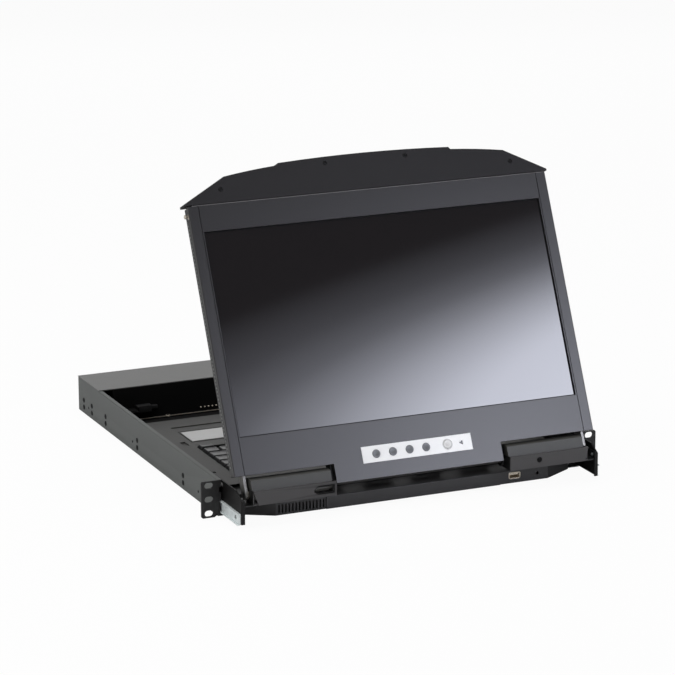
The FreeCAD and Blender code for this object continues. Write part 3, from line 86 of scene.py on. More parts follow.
def corners(points):
    """Lowest and highest corner round some points."""
    return (Vector([min(p[i] for p in points) for i in range(3)]),
            Vector([max(p[i] for p in points) for i in range(3)]))


def span(name, into=None):
    """Lowest and highest corner of a CAD node, in the room or in another frame."""
    return corners([(into @ v.co) if into else v.co for v in nodes[name].data.vertices])


bezel_low, bezel_high = span("lcd_bezel", TO_LCD)
print("screen leans %.1f degrees" % (90 - math.degrees(screen_pitch)))
print("bezel, own frame:", [round(v, 4) for v in bezel_low], [round(v, 4) for v in bezel_high])

# %% [markdown]
# ## Finishes
#
# A finish is a small tree of nodes round one Principled shader. The same few moves come again and
# again: a noise, a change of range, a mix of two tones, a mask along an axis. Each is a helper here,
# so that the recipe below reads as a list of steps. Textures use the object's own coordinates, which
# are metres, so their sizes are features per metre and stay true when the object moves.

# %% Helpers for node trees
def new_finish(name):
    """An empty material with its shader, and the object's coordinates for its textures."""
    material = bpy.data.materials.new(name)
    material.use_nodes = True
    tree = material.node_tree
    shader = tree.nodes["Principled BSDF"]
    place = tree.nodes.new("ShaderNodeTexCoord").outputs["Object"]
    return material, tree, shader, place


def noise(tree, place, scale, detail=3.0, rough=0.55, stretch=None):
    """A noise texture, drawn out along an axis where stretch says so."""
    if stretch:
        mapping = tree.nodes.new("ShaderNodeMapping")
        mapping.inputs["Scale"].default_value = stretch
        tree.links.new(place, mapping.inputs["Vector"])
        place = mapping.outputs["Vector"]
    texture = tree.nodes.new("ShaderNodeTexNoise")
    texture.inputs["Scale"].default_value = scale
    texture.inputs["Detail"].default_value = detail
    texture.inputs["Roughness"].default_value = rough
    tree.links.new(place, texture.inputs["Vector"])
    return texture.outputs["Fac"]


def remap(tree, value, low, high, start=0.3, end=0.7):
    """Carries a value from start..end to low..high."""
    node = tree.nodes.new("ShaderNodeMapRange")
    tree.links.new(value, node.inputs["Value"])
    for socket, number in zip(("From Min", "From Max", "To Min", "To Max"), (start, end, low, high)):
        node.inputs[socket].default_value = number
    return node.outputs["Result"]


def toned(tree, value, first, second):
    """A colour between two, each of them a plain tone or another node's colour."""
    mix = tree.nodes.new("ShaderNodeMix")
    mix.data_type = "RGBA"
    for socket, colour in (("A", first), ("B", second)):
        if isinstance(colour, tuple):
            mix.inputs[socket].default_value = (*colour, 1)
        else:
            tree.links.new(colour, mix.inputs[socket])
    tree.links.new(value, mix.inputs["Factor"])
    return mix.outputs["Result"]


def linear(colour):
    """Screen colour, 0 to 255, as light."""
    return tuple(((c / 255 + 0.055) / 1.055) ** 2.4 if c > 10 else c / 255 / 12.92 for c in colour)


def math_node(tree, operation, *values):
    """One sum on values, each of them a plain number or another node's value."""
    node = tree.nodes.new("ShaderNodeMath")
    node.operation = operation
    for socket, value in zip(node.inputs, values):
        if isinstance(value, (int, float)):
            socket.default_value = value
        else:
            tree.links.new(value, socket)
    return node.outputs["Value"]


MASK_BLUR = 0.2 * MM


def beyond(tree, place, axis, edge):
    """1 where the distance from the middle along an axis is more than an edge, and 0 inside it."""
    split = tree.nodes.new("ShaderNodeSeparateXYZ")
    tree.links.new(place, split.inputs["Vector"])
    away = math_node(tree, "ABSOLUTE", split.outputs[axis])
    return remap(tree, away, 0, 1, edge - MASK_BLUR, edge + MASK_BLUR)


print("mid grey as light: %.3f" % linear((128, 128, 128))[0])

# %% [markdown]
# Moulded plastic and powder coat are never one flat colour: a broad noise shifts the tone a little,
# a fine noise makes the grain that catches light, and worn edges are paler. Image textures would
# give that too, but they stretch and repeat on so many shapes. One function holds the recipe, so
# each finish is a line of settings.

# %% The recipe for a finish
MASKED_BLACK = (0.003, 0.003, 0.003)
WORN_GAIN, WORN_LIFT, WORN_FROM, WORN_TO = 1.6, 0.03, 0.52, 0.60
ROUGH_LOW, ROUGH_HIGH = 0.9, 1.12  # shares of the roughness, from the grain
BUMP_STRENGTH, COAT_ROUGH = 0.6, 0.12


def finish(name, colour, rough, metal=0.0, mottle=0.08, mottle_scale=14, grain=900, grain_depth=0.03,
           stretch=None, worn=0.0, coat=0.0, specular=0.5, black_within=None):
    """A painted, moulded or plated surface with its tone, grain, gloss and wear.  black_within is an axis and
    a distance from the middle, inside which the surface is plain black (painted shade on the hinge brackets)."""
    material, tree, shader, place = new_finish(name)
    base = linear(colour)
    dark = tuple(c * (1 - mottle) for c in base)
    light = tuple(min(1, c * (1 + mottle)) for c in base)
    tone = toned(tree, remap(tree, noise(tree, place, mottle_scale), 0, 1), dark, light)
    if worn:
        edge = tree.nodes.new("ShaderNodeNewGeometry").outputs["Pointiness"]
        pale = tuple(min(1, c * WORN_GAIN + WORN_LIFT) for c in base)
        tone = toned(tree, remap(tree, edge, 0, worn, WORN_FROM, WORN_TO), tone, pale)
    # the mask paints plain black inside the edge: painted shade on the hinge brackets
    if black_within:
        tone = toned(tree, beyond(tree, place, *black_within), MASKED_BLACK, tone)
    tree.links.new(tone, shader.inputs["Base Color"])
    fine = noise(tree, place, grain, 2.0, stretch=stretch)
    gloss = remap(tree, fine, rough * ROUGH_LOW, min(1, rough * ROUGH_HIGH))
    tree.links.new(gloss, shader.inputs["Roughness"])
    bump = tree.nodes.new("ShaderNodeBump")
    bump.inputs["Strength"].default_value = BUMP_STRENGTH
    bump.inputs["Distance"].default_value = grain_depth * MM
    tree.links.new(fine, bump.inputs["Height"])
    tree.links.new(bump.outputs["Normal"], shader.inputs["Normal"])
    shader.inputs["Metallic"].default_value = metal
    shader.inputs["Coat Weight"].default_value = coat
    shader.inputs["Coat Roughness"].default_value = COAT_ROUGH
    shader.inputs["Specular IOR Level"].default_value = specular
    return material


print("a worn edge is", WORN_GAIN, "times as pale")

# %% [markdown]
# The chassis is steel under a textured powder coat: a dull grey with a slight green cast on the
# walls, neutral on the lid and nearly black on the ears. Powder coat has an orange-peel grain about
# half a millimetre across and a soft, wide highlight.

# %% Painted steel
wall_paint = finish("wall_powder_coat", (75, 78, 76), 0.52, grain=1500, grain_depth=0.05, worn=0.5)
lid_paint = finish("lid_powder_coat", (95, 95, 94), 0.50, grain=1500, grain_depth=0.05, worn=0.5)
ear_paint = finish("ear_powder_coat", (20, 19, 20), 0.46, grain=1500, grain_depth=0.05, worn=0.5,
                   specular=0.3)
arm_paint = finish("carriage_black", (8, 7, 7), 0.5, grain=1100, worn=0.2, specular=0.2)
# painted shade: the bracket is black behind its front face, for the shade on its lug
bracket_paint = finish("hinge_bracket_satin", (48, 46, 47), 0.42, grain=1300, worn=0.6,
                       black_within=("Y", 53.8 * MM))
tray_paint = finish("tray_black", (36, 36, 37), 0.5, grain=1300)
print("painted steel: 6 finishes")

# %% [markdown]
# Bare metal shows how it was made. The runners are drawn through a die, so their scratches run
# along the rail: a texture of lines would repeat, so the noise is drawn out along Y instead. Zinc
# plate is pale and a little cloudy, so its mottle is coarse. Screws are bright steel or black oxide.
# Where a piece shows its finish only at its ends, the rest is plain black by a mask; on the hinge brackets
# that black is painted shade behind the front face.

# %% Bare metal
drawn_steel = finish("drawn_steel", (176, 179, 181), 0.28, metal=1.0, mottle=0.06, grain=2600,
                     grain_depth=0.012, stretch=(1, 0.02, 1))
zinc_plate = finish("zinc_plate", (236, 243, 243), 0.3, metal=0.08, mottle=0.08, mottle_scale=160,
                    grain=2200, grain_depth=0.012, stretch=(1, 0.05, 1))
cheek_steel = finish("cheek_steel", (138, 137, 134), 0.4, metal=0.5, grain=2400, grain_depth=0.01,
                     black_within=("X", 150 * MM))
dark_zinc = finish("dark_zinc", (62, 62, 64), 0.45, metal=0.5, mottle=0.1, mottle_scale=120, grain=1800)
dull_zinc = finish("dull_zinc", (120, 121, 122), 0.42, metal=1.0, mottle=0.2, mottle_scale=120, grain=1800)
nickel = finish("nickel_plate", (220, 210, 194), 0.28, metal=0.6, mottle=0.05, grain=3200, grain_depth=0.006)
black_oxide = finish("black_oxide", (9, 9, 10), 0.5, grain=2600, grain_depth=0.01, specular=0.25)
carriage_screw_steel = finish("carriage_screw_steel", (168, 172, 172), 0.3, metal=0.8, grain=2600,
                              grain_depth=0.01, black_within=("X", 200 * MM))
gold_plate = finish("gold_plate", (214, 172, 92), 0.22, metal=1.0, mottle=0.05, grain=3000, grain_depth=0.005)
print("bare metal: 9 finishes")

# %% [markdown]
# The LCD housing is moulded with a fine spark-eroded grain and a soft sheen, which lets the front
# go from nearly black to mid grey across its width. The keyboard deck is coarser and duller.

# %% Moulded plastic
bezel_plastic = finish("bezel_moulding", (20, 17, 19), 0.35, grain=2400, grain_depth=0.014, mottle=0.05,
                       specular=0.72)
cover_plastic = finish("back_cover_moulding", (54, 54, 54), 0.5, grain=2000, grain_depth=0.02)
handle_plastic = finish("handle_moulding", (23, 21, 23), 0.55, grain=2200, grain_depth=0.018, mottle=0.06,
                        specular=0.35)
grip_plastic = finish("grip_moulding", (54, 53, 54), 0.5, grain=2200, grain_depth=0.018, mottle=0.06)
barrel_plastic = finish("barrel_moulding", (64, 64, 61), 0.5, grain=2400, grain_depth=0.01, mottle=0.04)
deck_plastic = finish("deck_moulding", (66, 66, 64), 0.55, grain=1800, grain_depth=0.025)
key_plastic = finish("key_moulding", (41, 41, 42), 0.34, grain=2600, grain_depth=0.016, mottle=0.05)
pad_plastic = finish("touch_moulding", (44, 44, 45), 0.3, grain=3200, grain_depth=0.006)
strip_plastic = finish("strip_gloss_white", (252, 252, 251), 0.25, mottle=0.01, grain=2600,
                       grain_depth=0.003, coat=0.3)
panel_plastic = finish("panel_grey", (194, 194, 193), 0.45, mottle=0.02, grain=1800, grain_depth=0.01)
# painted highlight: a pale strip for the light caught by the handle's lower edge
highlight_strip_paint = finish("painted_highlight_strip", (112, 110, 112), 0.4, mottle=0.03, grain=1800, grain_depth=0.01)
rib_plastic = finish("rib_moulding", (120, 122, 120), 0.5, mottle=0.05, grain=1800, grain_depth=0.01)
black_plastic = finish("black_moulding", (16, 16, 17), 0.4, grain=2200, grain_depth=0.012)
# near black: the key film and lamp marker, and painted shade in vent slots, screw recesses, the finger dish,
# the bay and the bezel's shadow line
black_and_shade = finish("black_and_painted_shade", (9, 9, 9), 0.7, grain=1400, grain_depth=0.02, specular=0.2)
print("moulded plastic: 14 finishes")

# %% [markdown]
# The panel is a sheet of glossy glass over a dark filter. Its own colour hardly shows: what the eye
# sees is the room in it. The lamp lens and the button caps are the other glossy pieces. The caps
# are silver paint with flakes. Real flakes would be far too many, so a very fine noise in the tone
# stands for them.

# %% Glass, lamp and flake paint
screen_glass = finish("screen_glass", (24, 19, 19), 0.05, mottle=0.03, grain=600, grain_depth=0.0004,
                      specular=0.9)
lamp_lens = finish("lamp_lens", (14, 16, 22), 0.15, mottle=0.03, grain=900, grain_depth=0.001, coat=0.2)
button_paint = finish("button_silver", (104, 106, 108), 0.36, metal=0.2, mottle=0.1, mottle_scale=2600,
                      grain=2600)
white_cap = finish("button_white", (246, 246, 246), 0.22, mottle=0.01, grain=2400, grain_depth=0.003)
print("gloss: 4 finishes")

# %% [markdown]
# A circuit board is green solder mask over copper: the tracks lie under the mask, so they show as
# slightly paler lines. A brick pattern of the coordinates gives that without any drawing.

# %% Circuit board
def board_finish():
    """Green solder mask with paler tracks under it."""
    material, tree, shader, place = new_finish("solder_mask")
    tracks = tree.nodes.new("ShaderNodeTexBrick")
    tracks.inputs["Scale"].default_value = 90
    tracks.inputs["Mortar Size"].default_value = 0.03
    tracks.inputs["Color1"].default_value = (0.005, 0.05, 0.025, 1)
    tracks.inputs["Color2"].default_value = (0.006, 0.06, 0.03, 1)
    tracks.inputs["Mortar"].default_value = (0.02, 0.12, 0.06, 1)
    tree.links.new(place, tracks.inputs["Vector"])
    tree.links.new(tracks.outputs["Color"], shader.inputs["Base Color"])
    shader.inputs["Roughness"].default_value = 0.32
    return material


solder_mask = board_finish()
chip_black = finish("chip_epoxy", (26, 26, 27), 0.5, grain=3000, grain_depth=0.01)
print("boards: 2 finishes")

# %% [markdown]
# ## Dressing the CAD parts
#
# A CAD part keeps its mesh and its place, and takes a finish in its material slot. One table of
# finishes and nodes is easier to check than a line for every node, and the last line prints the
# names of any that were forgotten. A list and not a rule says what is painted and what is bare,
# because a console mixes both on neighbouring parts.

# %% Finish of every CAD part
dress = {
    wall_paint: ["chassis_tray", "rear_panel"],
    lid_paint: ["rear_cover"],
    ear_paint: ["rack_ear_left", "rack_ear_right"],
    arm_paint: ["carriage_arm_left", "carriage_arm_right", "carriage_crossbar"],
    cheek_steel: ["hinge_cheeks"],
    bracket_paint: ["hinge_bracket_left", "hinge_bracket_right"],
    tray_paint: ["keyboard_tray", "key_plate"],
    drawn_steel: ["hinge_shafts", "keyboard_slide_inner_left", "keyboard_slide_inner_right"],
    dark_zinc: ["lcd_slide_outer_left", "lcd_slide_outer_right", "keyboard_slide_outer_left",
                "keyboard_slide_outer_right"],
    # painted shade: the bay wall is near black for the shade in the bay
    black_and_shade: ["bay_wall"],
    zinc_plate: ["lcd_slide_inner_left", "lcd_slide_inner_right"],
    dull_zinc: ["power_supply", "console_sockets"],
    nickel: ["latch_pins", "usb_socket"],
    black_oxide: ["side_screws", "handle_screws", "cover_screws"],
    carriage_screw_steel: ["carriage_screws"],
    bezel_plastic: ["lcd_bezel"],
    cover_plastic: ["lcd_back_cover"],
    handle_plastic: ["lcd_handle"],
    grip_plastic: ["keyboard_handle"],
    barrel_plastic: ["hinge_barrel_left", "hinge_barrel_right"],
    deck_plastic: ["keyboard_deck"],
    key_plastic: [name for name in nodes if name.startswith("key_row_")],
    pad_plastic: ["touchpad", "touch_button_left", "touch_button_right"],
    strip_plastic: ["control_strip"],
    panel_plastic: ["panel_strip"],
    black_plastic: ["power_inlet", "power_switch"],
    screen_glass: ["lcd_panel"],
    lamp_lens: ["power_led"],
    button_paint: ["osd_button_1", "osd_button_2", "osd_button_3", "osd_button_4"],
    white_cap: ["lcd_power_button"],
    solder_mask: ["main_board", "lcd_board"],
}
for material, names in dress.items():
    for name in names:
        slots = nodes[name].data.materials
        slots.clear()
        slots.append(material)
undressed = set(nodes) - {name for names in dress.values() for name in names}
print("dressed", sum(len(names) for names in dress.values()), "left:", sorted(undressed))

# %% [markdown]
# ## Building the small pieces
#
# A piece starts as a bmesh, which takes exact corners and leaves no operator behind. Four builders
# are enough for all of them: a block with eased edges, a turned shape, a hoop, and a stack of rings
# skinned one to the next. `seat` then turns the bmesh into an object, gives it a finish and a slot,
# and says which body carries it. Shading by angle keeps flat faces flat and round ones round.

# %% Builders
def ring_of(build, points):
    """A corner at each point."""
    return [build.verts.new(point) for point in points]


def skin(build, rings, closed_ends=True):
    """Quads between rings of equal length, with a face on each end or a seam back to the start."""
    pairs = list(zip(rings, rings[1:])) if closed_ends else list(zip(rings, rings[1:] + rings[:1]))
    for lower, upper in pairs:
        for i in range(len(lower)):
            j = (i + 1) % len(lower)
            build.faces.new((lower[i], lower[j], upper[j], upper[i]))
    if closed_ends:
        build.faces.new(rings[0][::-1])
        build.faces.new(rings[-1])


def block(build, low, high, ease=0.0):
    """A box between two corners, its edges eased where asked."""
    made = bmesh.ops.create_cube(build, size=1.0)["verts"]
    for v in made:
        v.co = Vector([low[i] + (high[i] - low[i]) * (v.co[i] + 0.5) for i in range(3)])
    if ease:
        edges = {edge for v in made for edge in v.link_edges}
        bmesh.ops.bevel(build, geom=list(edges), offset=ease, segments=2, profile=0.6, affect="EDGES")


def circles(build, profile, place, way, sides):
    """A ring of corners at each (radius, distance) along a direction from a place."""
    turn = Vector((0, 0, 1)).rotation_difference(Vector(way)).to_matrix()
    angles = [2 * math.pi * (i + 0.5) / sides for i in range(sides)]
    rings = []
    for radius, distance in profile:
        points = [Vector((radius * math.cos(a), radius * math.sin(a), distance)) for a in angles]
        rings.append(ring_of(build, [Vector(place) + turn @ point for point in points]))
    return rings


def turned(build, profile, place, way, sides=24):
    """A solid of revolution, closed at both ends."""
    skin(build, circles(build, profile, place, way, sides))


def hoop(build, inner, outer, thick, place, way, sides=32):
    """A flat ring with square edges."""
    profile = [(inner, 0), (outer, 0), (outer, thick), (inner, thick)]
    skin(build, circles(build, profile, place, way, sides), closed_ends=False)


def seat(name, build, material, body, into=None):
    """The finished object, riding on a body."""
    if into:
        build.transform(into)
    bmesh.ops.recalc_face_normals(build, faces=build.faces[:])
    mesh = bpy.data.meshes.new(name)
    build.to_mesh(mesh)
    build.free()
    mesh.materials.append(material)
    mesh.shade_smooth()
    mesh.set_sharp_from_angle(angle=math.radians(35))
    piece = bpy.data.objects.new(name, mesh)
    bpy.context.scene.collection.objects.link(piece)
    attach(piece, body)
    return piece


print("builders: block, turned, hoop and skin")

# %% [markdown]
# Keys and screws come many to a node. To dress each one where it really is, a node's mesh is parted
# into its separate solids, and each solid gives its corners. The places could be typed in, but read
# from the mesh they stay right when the model changes.

# %% Separate solids of a node
def solids_of(name, into=None):
    """Corner points of each separate solid in a CAD node, in the room or in another frame."""
    copy = bmesh.new()
    copy.from_mesh(nodes[name].data)
    if into:
        copy.transform(into)
    bmesh.ops.remove_doubles(copy, verts=copy.verts[:], dist=1e-6)
    seen, solids = set(), []
    for first in copy.verts:
        if first in seen:
            continue
        seen.add(first)
        group, queue = [], [first]
        while queue:
            v = queue.pop()
            group.append(v.co.copy())
            fresh = {edge.other_vert(v) for edge in v.link_edges} - seen
            seen |= fresh
            queue += fresh
        solids.append(group)
    copy.free()
    return solids


key_boxes = {name: [corners(solid) for solid in solids_of(name)]
             for name in sorted(nodes) if name.startswith("key_row_")}
print("keys:", sum(len(boxes) for boxes in key_boxes.values()))

# %% [markdown]
# ## Key caps
#
# The CAD keys are tapered blocks of the right size and place. A moulded cap has round corners, a
# soft lip round its top and a shallow dish in it. A bevel would ease the edges but make no dish, so
# each cap is skinned from rings. Each row becomes one piece that stands for its CAD row, so a press
# still moves the whole row.

# %% Dished caps
# height below the top, inset and corner radius of each ring, from the skirt up and into the dish
CAP_RINGS = ((7.4, 0.0, 0.3), (2.8, 0.1, 0.5), (0.9, 0.95, 1.1), (0.25, 1.25, 1.5), (0.0, 1.7, 1.8),
             (0.1, 2.3, 2.0), (0.35, 3.6, 2.2))


def rounded_ring(low, high, radius, z, steps=3):
    """Points round a rectangle with round corners, all at one height."""
    points = []
    for right, back, start in ((1, 1, 0), (0, 1, 90), (0, 0, 180), (1, 0, 270)):
        middle_x = high.x - radius if right else low.x + radius
        middle_y = high.y - radius if back else low.y + radius
        for i in range(steps + 1):
            a = math.radians(start + 90 * i / steps)
            points.append(Vector((middle_x + radius * math.cos(a), middle_y + radius * math.sin(a), z)))
    return points


def aside(step):
    """The same step along X and along Y."""
    return Vector((step, step, 0))


def key_cap(build, low, high):
    """One cap, skinned from its skirt up over the lip and down into the dish."""
    rings = []
    for drop, inset, radius in CAP_RINGS:
        z = max(low.z, high.z - drop * MM)
        outline = rounded_ring(low + aside(inset * MM), high - aside(inset * MM), radius * MM, z)
        rings.append(ring_of(build, outline))
    skin(build, rings)


for row, boxes in key_boxes.items():
    caps = bmesh.new()
    for low, high in boxes:
        key_cap(caps, low, high)
    body = row.replace("key_row", "keys")
    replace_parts(seat(row.replace("key_row", "caps"), caps, key_plastic, body), row)
print("capped rows:", len(key_boxes))

# %% [markdown]
# A black film lies under the caps, and a thin pale rim is pressed round the touchpad. A frame could
# be cut from a plate, but four eased bars need no boolean and leave clean faces.

# %% Key film and touchpad rim
FILM_T = 0.4 * MM
RIM_GAP, RIM_W, RIM_T = 0.4 * MM, 0.8 * MM, 0.15 * MM
key_low, key_high = corners([corner for boxes in key_boxes.values() for box in boxes for corner in box])
plate_top = span("key_plate")[1].z
pad_low, pad_high = span("touchpad")
deck_top = span("keyboard_deck")[1].z


def frame_round(build, low, high, width, z, thick):
    """A flat frame of four eased bars, just outside a rectangle."""
    x0, y0, x1, y1 = low[0], low[1], high[0], high[1]
    bars = (((x0 - width, y0 - width), (x1 + width, y0)), ((x0 - width, y1), (x1 + width, y1 + width)),
            ((x0 - width, y0), (x0, y1)), ((x1, y0), (x1 + width, y1)))
    for a, b in bars:
        block(build, (*a, z), (*b, z + thick), thick * 0.3)


dark_sheet = bmesh.new()
block(dark_sheet, (key_low.x, key_low.y, plate_top), (key_high.x, key_high.y, plate_top + FILM_T), FILM_T / 4)
seat("key_film", dark_sheet, black_and_shade, "keyboard_module")
rim = bmesh.new()
frame_round(rim, pad_low - aside(RIM_GAP), pad_high + aside(RIM_GAP), RIM_W, deck_top, RIM_T)
seat("touchpad_rim", rim, panel_plastic, "keyboard_module")
print("touchpad rim at z = %.4f" % deck_top)

# %% [markdown]
# ## Fasteners
#
# The CAD draws its many small screws with twelve flat sides. Here each gets a turned pan head with
# a rolled edge and a cross of painted shade for its recess. The head is at the flat end that has the most
# corners, and between equals it is the end that faces outward. Real recesses would take some fifty
# boolean cuts, and the eye can't tell them from two dark bars, so the bars are used as painted shade.

# %% Where a screw's head is
SAME_PLANE = 0.05 * MM


def head_of(points):
    """The head's outward direction, the middle of its top and its radius."""
    low, high = corners(points)
    middle = (low + high) / 2
    best = (0, None, None)
    for axis in range(3):
        for sign, end in ((-1, low[axis]), (1, high[axis])):
            count = sum(abs(p[axis] - end) < SAME_PLANE for p in points)
            score = count + (0.5 if sign * middle[axis] > 0 else 0)
            if score > best[0]:
                best = (score, axis, sign)
    axis, sign = best[1:]
    way = Vector([sign if i == axis else 0 for i in range(3)])
    top = middle.copy()
    top[axis] = high[axis] if sign > 0 else low[axis]
    return way, top, max(high[i] - low[i] for i in range(3) if i != axis) / 2


print("one side screw looks along", tuple(head_of(solids_of("side_screws")[0])[0]))

# %% Pan heads and the painted shade of their recesses
HEAD_TALL = 0.8 * MM
HEAD_PROFILE = ((1.0, 0.0), (1.0, 0.35), (0.92, 0.7), (0.7, 0.95), (0.3, 1.0))  # shares of radius, height
SHANK_SHARE, SHANK_LONG, SHANK_INTO_HEAD = 0.45, 1.2 * MM, 0.1 * MM
CROSS_LONG, CROSS_WIDE = 0.52, 0.12  # half lengths of a bar, as shares of the radius
CROSS_STANDS = 0.02 * MM  # how far a cross stands above its head
CROSS_DEEP = 0.15 * MM


def dress_screws(node, body, material, into=None):
    """Turned heads that stand for a node of screws, with a dark cross of painted shade in each for its
    recess.
    """
    heads, recess_shade = bmesh.new(), bmesh.new()
    for points in solids_of(node, into and into.inverted()):
        way, top, radius = head_of(points)
        foot = top - way * (HEAD_TALL + CROSS_STANDS)
        turned(heads, [(share * radius, height * HEAD_TALL) for share, height in HEAD_PROFILE], foot, way)
        shank = radius * SHANK_SHARE
        turned(heads, [(shank, -SHANK_LONG), (shank, SHANK_INTO_HEAD)], foot, way, 12)
        side = Vector((way.y, way.z, way.x))
        other = way.cross(side)
        for along, across in ((side, other), (other, side)):
            reach = along * radius * CROSS_LONG + across * radius * CROSS_WIDE
            block(recess_shade, *corners([top - reach - way * CROSS_DEEP, top + reach]))
    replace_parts(seat(node + "_heads", heads, material, body, into), node)
    # painted shade: dark bars stand for the shade in each cross recess
    seat(node + "_crosses", recess_shade, black_and_shade, body, into)


dress_screws("side_screws", "chassis", black_oxide)
dress_screws("cover_screws", "chassis", black_oxide)
dress_screws("carriage_screws", "lcd_carriage", carriage_screw_steel)
dress_screws("handle_screws", "lcd_module", black_oxide, LCD)
print("four kinds of screw dressed")

# %% [markdown]
# ## The LCD module
#
# The glass sits behind a thin black frame, painted shade for the shadow line at the bezel's edge. A pale
# strip runs along the foot of the handle, where the moulded cap meets the housing: a painted highlight for
# the light that edge catches. The power button has a ring round it and the lamp a three-cornered one.
# Both are thin solids and not a painted texture, so they keep a sharp edge from close by.

# %% Painted shadow line and painted highlight
panel_low, panel_high = span("lcd_panel", TO_LCD)
PANEL_HIDDEN = 3.0 * MM  # how far the panel reaches under the bezel
SHADOW_LINE_W, SHADOW_LINE_T = 1.2 * MM, 0.2 * MM
inward = aside(PANEL_HIDDEN + SHADOW_LINE_W)
# painted shade: a black frame where the bezel's edge throws its shadow line on the glass
shadow_line = bmesh.new()
frame_round(shadow_line, panel_low + inward, panel_high - inward, SHADOW_LINE_W, panel_high.z, SHADOW_LINE_T)
seat("screen_shadow_line", shadow_line, black_and_shade, "lcd_module", LCD)

HIGHLIGHT_HALF, HIGHLIGHT_EASE = 213 * MM, 0.2 * MM
HIGHLIGHT_UP = (0.1 * MM, 0.9 * MM)  # above the bezel's upper edge
HIGHLIGHT_OUT = (-0.5 * MM, 0.25 * MM)  # from the bezel's face
handle_foot, bezel_face = bezel_high.y, bezel_high.z
# painted highlight: a pale strip along the handle's lower edge
highlight_strip = bmesh.new()
block(highlight_strip, (-HIGHLIGHT_HALF, handle_foot + HIGHLIGHT_UP[0], bezel_face + HIGHLIGHT_OUT[0]),
      (HIGHLIGHT_HALF, handle_foot + HIGHLIGHT_UP[1], bezel_face + HIGHLIGHT_OUT[1]), HIGHLIGHT_EASE)
seat("handle_highlight_strip", highlight_strip, highlight_strip_paint, "lcd_module", LCD)
print("bezel face at %.4f, glass at %.4f" % (bezel_face, panel_high.z))

# %% Rings on the control strip
strip_face = span("control_strip", TO_LCD)[1].z
RING_T = 0.12 * MM


def strip_ring(name, node, inner, outer, material, sides=32):
    """A thin ring on the control strip, round the middle of a node."""
    low, high = span(node, TO_LCD)
    ring = bmesh.new()
    middle = ((low.x + high.x) / 2, (low.y + high.y) / 2, strip_face)
    hoop(ring, inner, outer, RING_T, middle, (0, 0, 1), sides)
    seat(name, ring, material, "lcd_module", LCD)


strip_ring("power_button_ring", "lcd_power_button", 5.2 * MM, 5.9 * MM, panel_plastic)
strip_ring("lamp_marker", "power_led", 1.5 * MM, 3.0 * MM, black_and_shade, 3)
print("control strip's face at %.4f" % strip_face)

# %% [markdown]
# Each side of the housing carries a moulded rack of fine ribs along the seam between bezel and back
# cover: one rib, repeated at an even pitch. The back has rows of vent slots. They are too fine to
# show their depth, so they are dark strips let into the skin: painted shade for the inside of each slot.

# %% Side ribs and painted shade in the back vents
cover_low, cover_high = span("lcd_back_cover", TO_LCD)
RIB_PITCH, RIB_LONG, RIB_STANDS, RIB_EASE = 4.2 * MM, 2.2 * MM, 0.5 * MM, 0.15 * MM
RIB_Z = (-1.4 * MM, 0.4 * MM)
RIB_FOOT, RIB_HEAD = 30 * MM, 10 * MM  # bare stretches below and above the ribs
ribs = bmesh.new()
rib_count = int((handle_foot - RIB_FOOT - RIB_HEAD) / RIB_PITCH)
for side in (-1, 1):
    x = side * cover_high.x
    for i in range(rib_count):
        y = RIB_FOOT + i * RIB_PITCH
        ends = [Vector((x, y, RIB_Z[0])), Vector((x + side * RIB_STANDS, y + RIB_LONG, RIB_Z[1]))]
        block(ribs, *corners(ends), RIB_EASE)
seat("side_ribs", ribs, rib_plastic, "lcd_module", LCD)

VENT_ROWS = (60 * MM, 72 * MM, 268 * MM, 280 * MM)
VENT_COUNT, VENT_PITCH, VENT_LONG, VENT_WIDE = 20, 20 * MM, 10 * MM, 2.4 * MM
VENT_Z = (cover_low.z - 0.05 * MM, cover_low.z + 0.2 * MM)
# painted shade: a near-black strip in each vent slot
vent_shade = bmesh.new()
for y in VENT_ROWS:
    for i in range(VENT_COUNT):
        x = (i - (VENT_COUNT - 1) / 2) * VENT_PITCH - VENT_LONG / 2
        block(vent_shade, (x, y, VENT_Z[0]), (x + VENT_LONG, y + VENT_WIDE, VENT_Z[1]))
seat("back_vents", vent_shade, black_and_shade, "lcd_module", LCD)
print("ribs a side:", rib_count)

# %% [markdown]
# ## The hinges
#
# Behind each barrel's outer end friction washers sit on the shaft: a bright one with a dark spacer
# against it. The left front plate has a long finger dish, and a near-black sheet lines the rim of that
# dish as painted shade in its hollow. The sheet follows the dish as two slot outlines joined by a skin,
# because a plain block would leave its round end square.

# %% Washers and spacers
barrel_end = span("hinge_barrel_right", TO_LCD)[1].x
WASHER_PLACE, WASHER_T, WASHER_R = 1.75 * MM, 0.35 * MM, 5.4 * MM
SPACER_T, SPACER_R = 0.3 * MM, 5.0 * MM
SHAFT_HOLE = 3.05 * MM
washer_start = barrel_end + WASHER_PLACE
washers, spacers = bmesh.new(), bmesh.new()
for side in (-1, 1):
    hoop(washers, SHAFT_HOLE, WASHER_R, WASHER_T, (side * washer_start, 0, 0), (side, 0, 0))
    hoop(spacers, SHAFT_HOLE, SPACER_R, SPACER_T, (side * (washer_start + WASHER_T), 0, 0), (side, 0, 0))
seat("hinge_washers", washers, nickel, "lcd_module", LCD)
seat("hinge_spacers", spacers, black_plastic, "lcd_module", LCD)
print("washers start at x = %.4f" % washer_start)

# %% Painted shade in the finger dish
plate_low, plate_high = span("hinge_bracket_left")
DISH_DROP = 7.95 * MM  # from the plate's upper edge to the dish's middle
DISH = (2.2 * MM, 23.0 * MM, 9.9 * MM)  # start from the inner end, length and height
SLOT = (4.5 * MM, 21.0 * MM, 6.6 * MM)
DISH_SHADE_Y = (0.3 * MM, 0.5 * MM)  # behind the plate's face
ARC_STEPS = 12
dish_z = plate_high.z - DISH_DROP


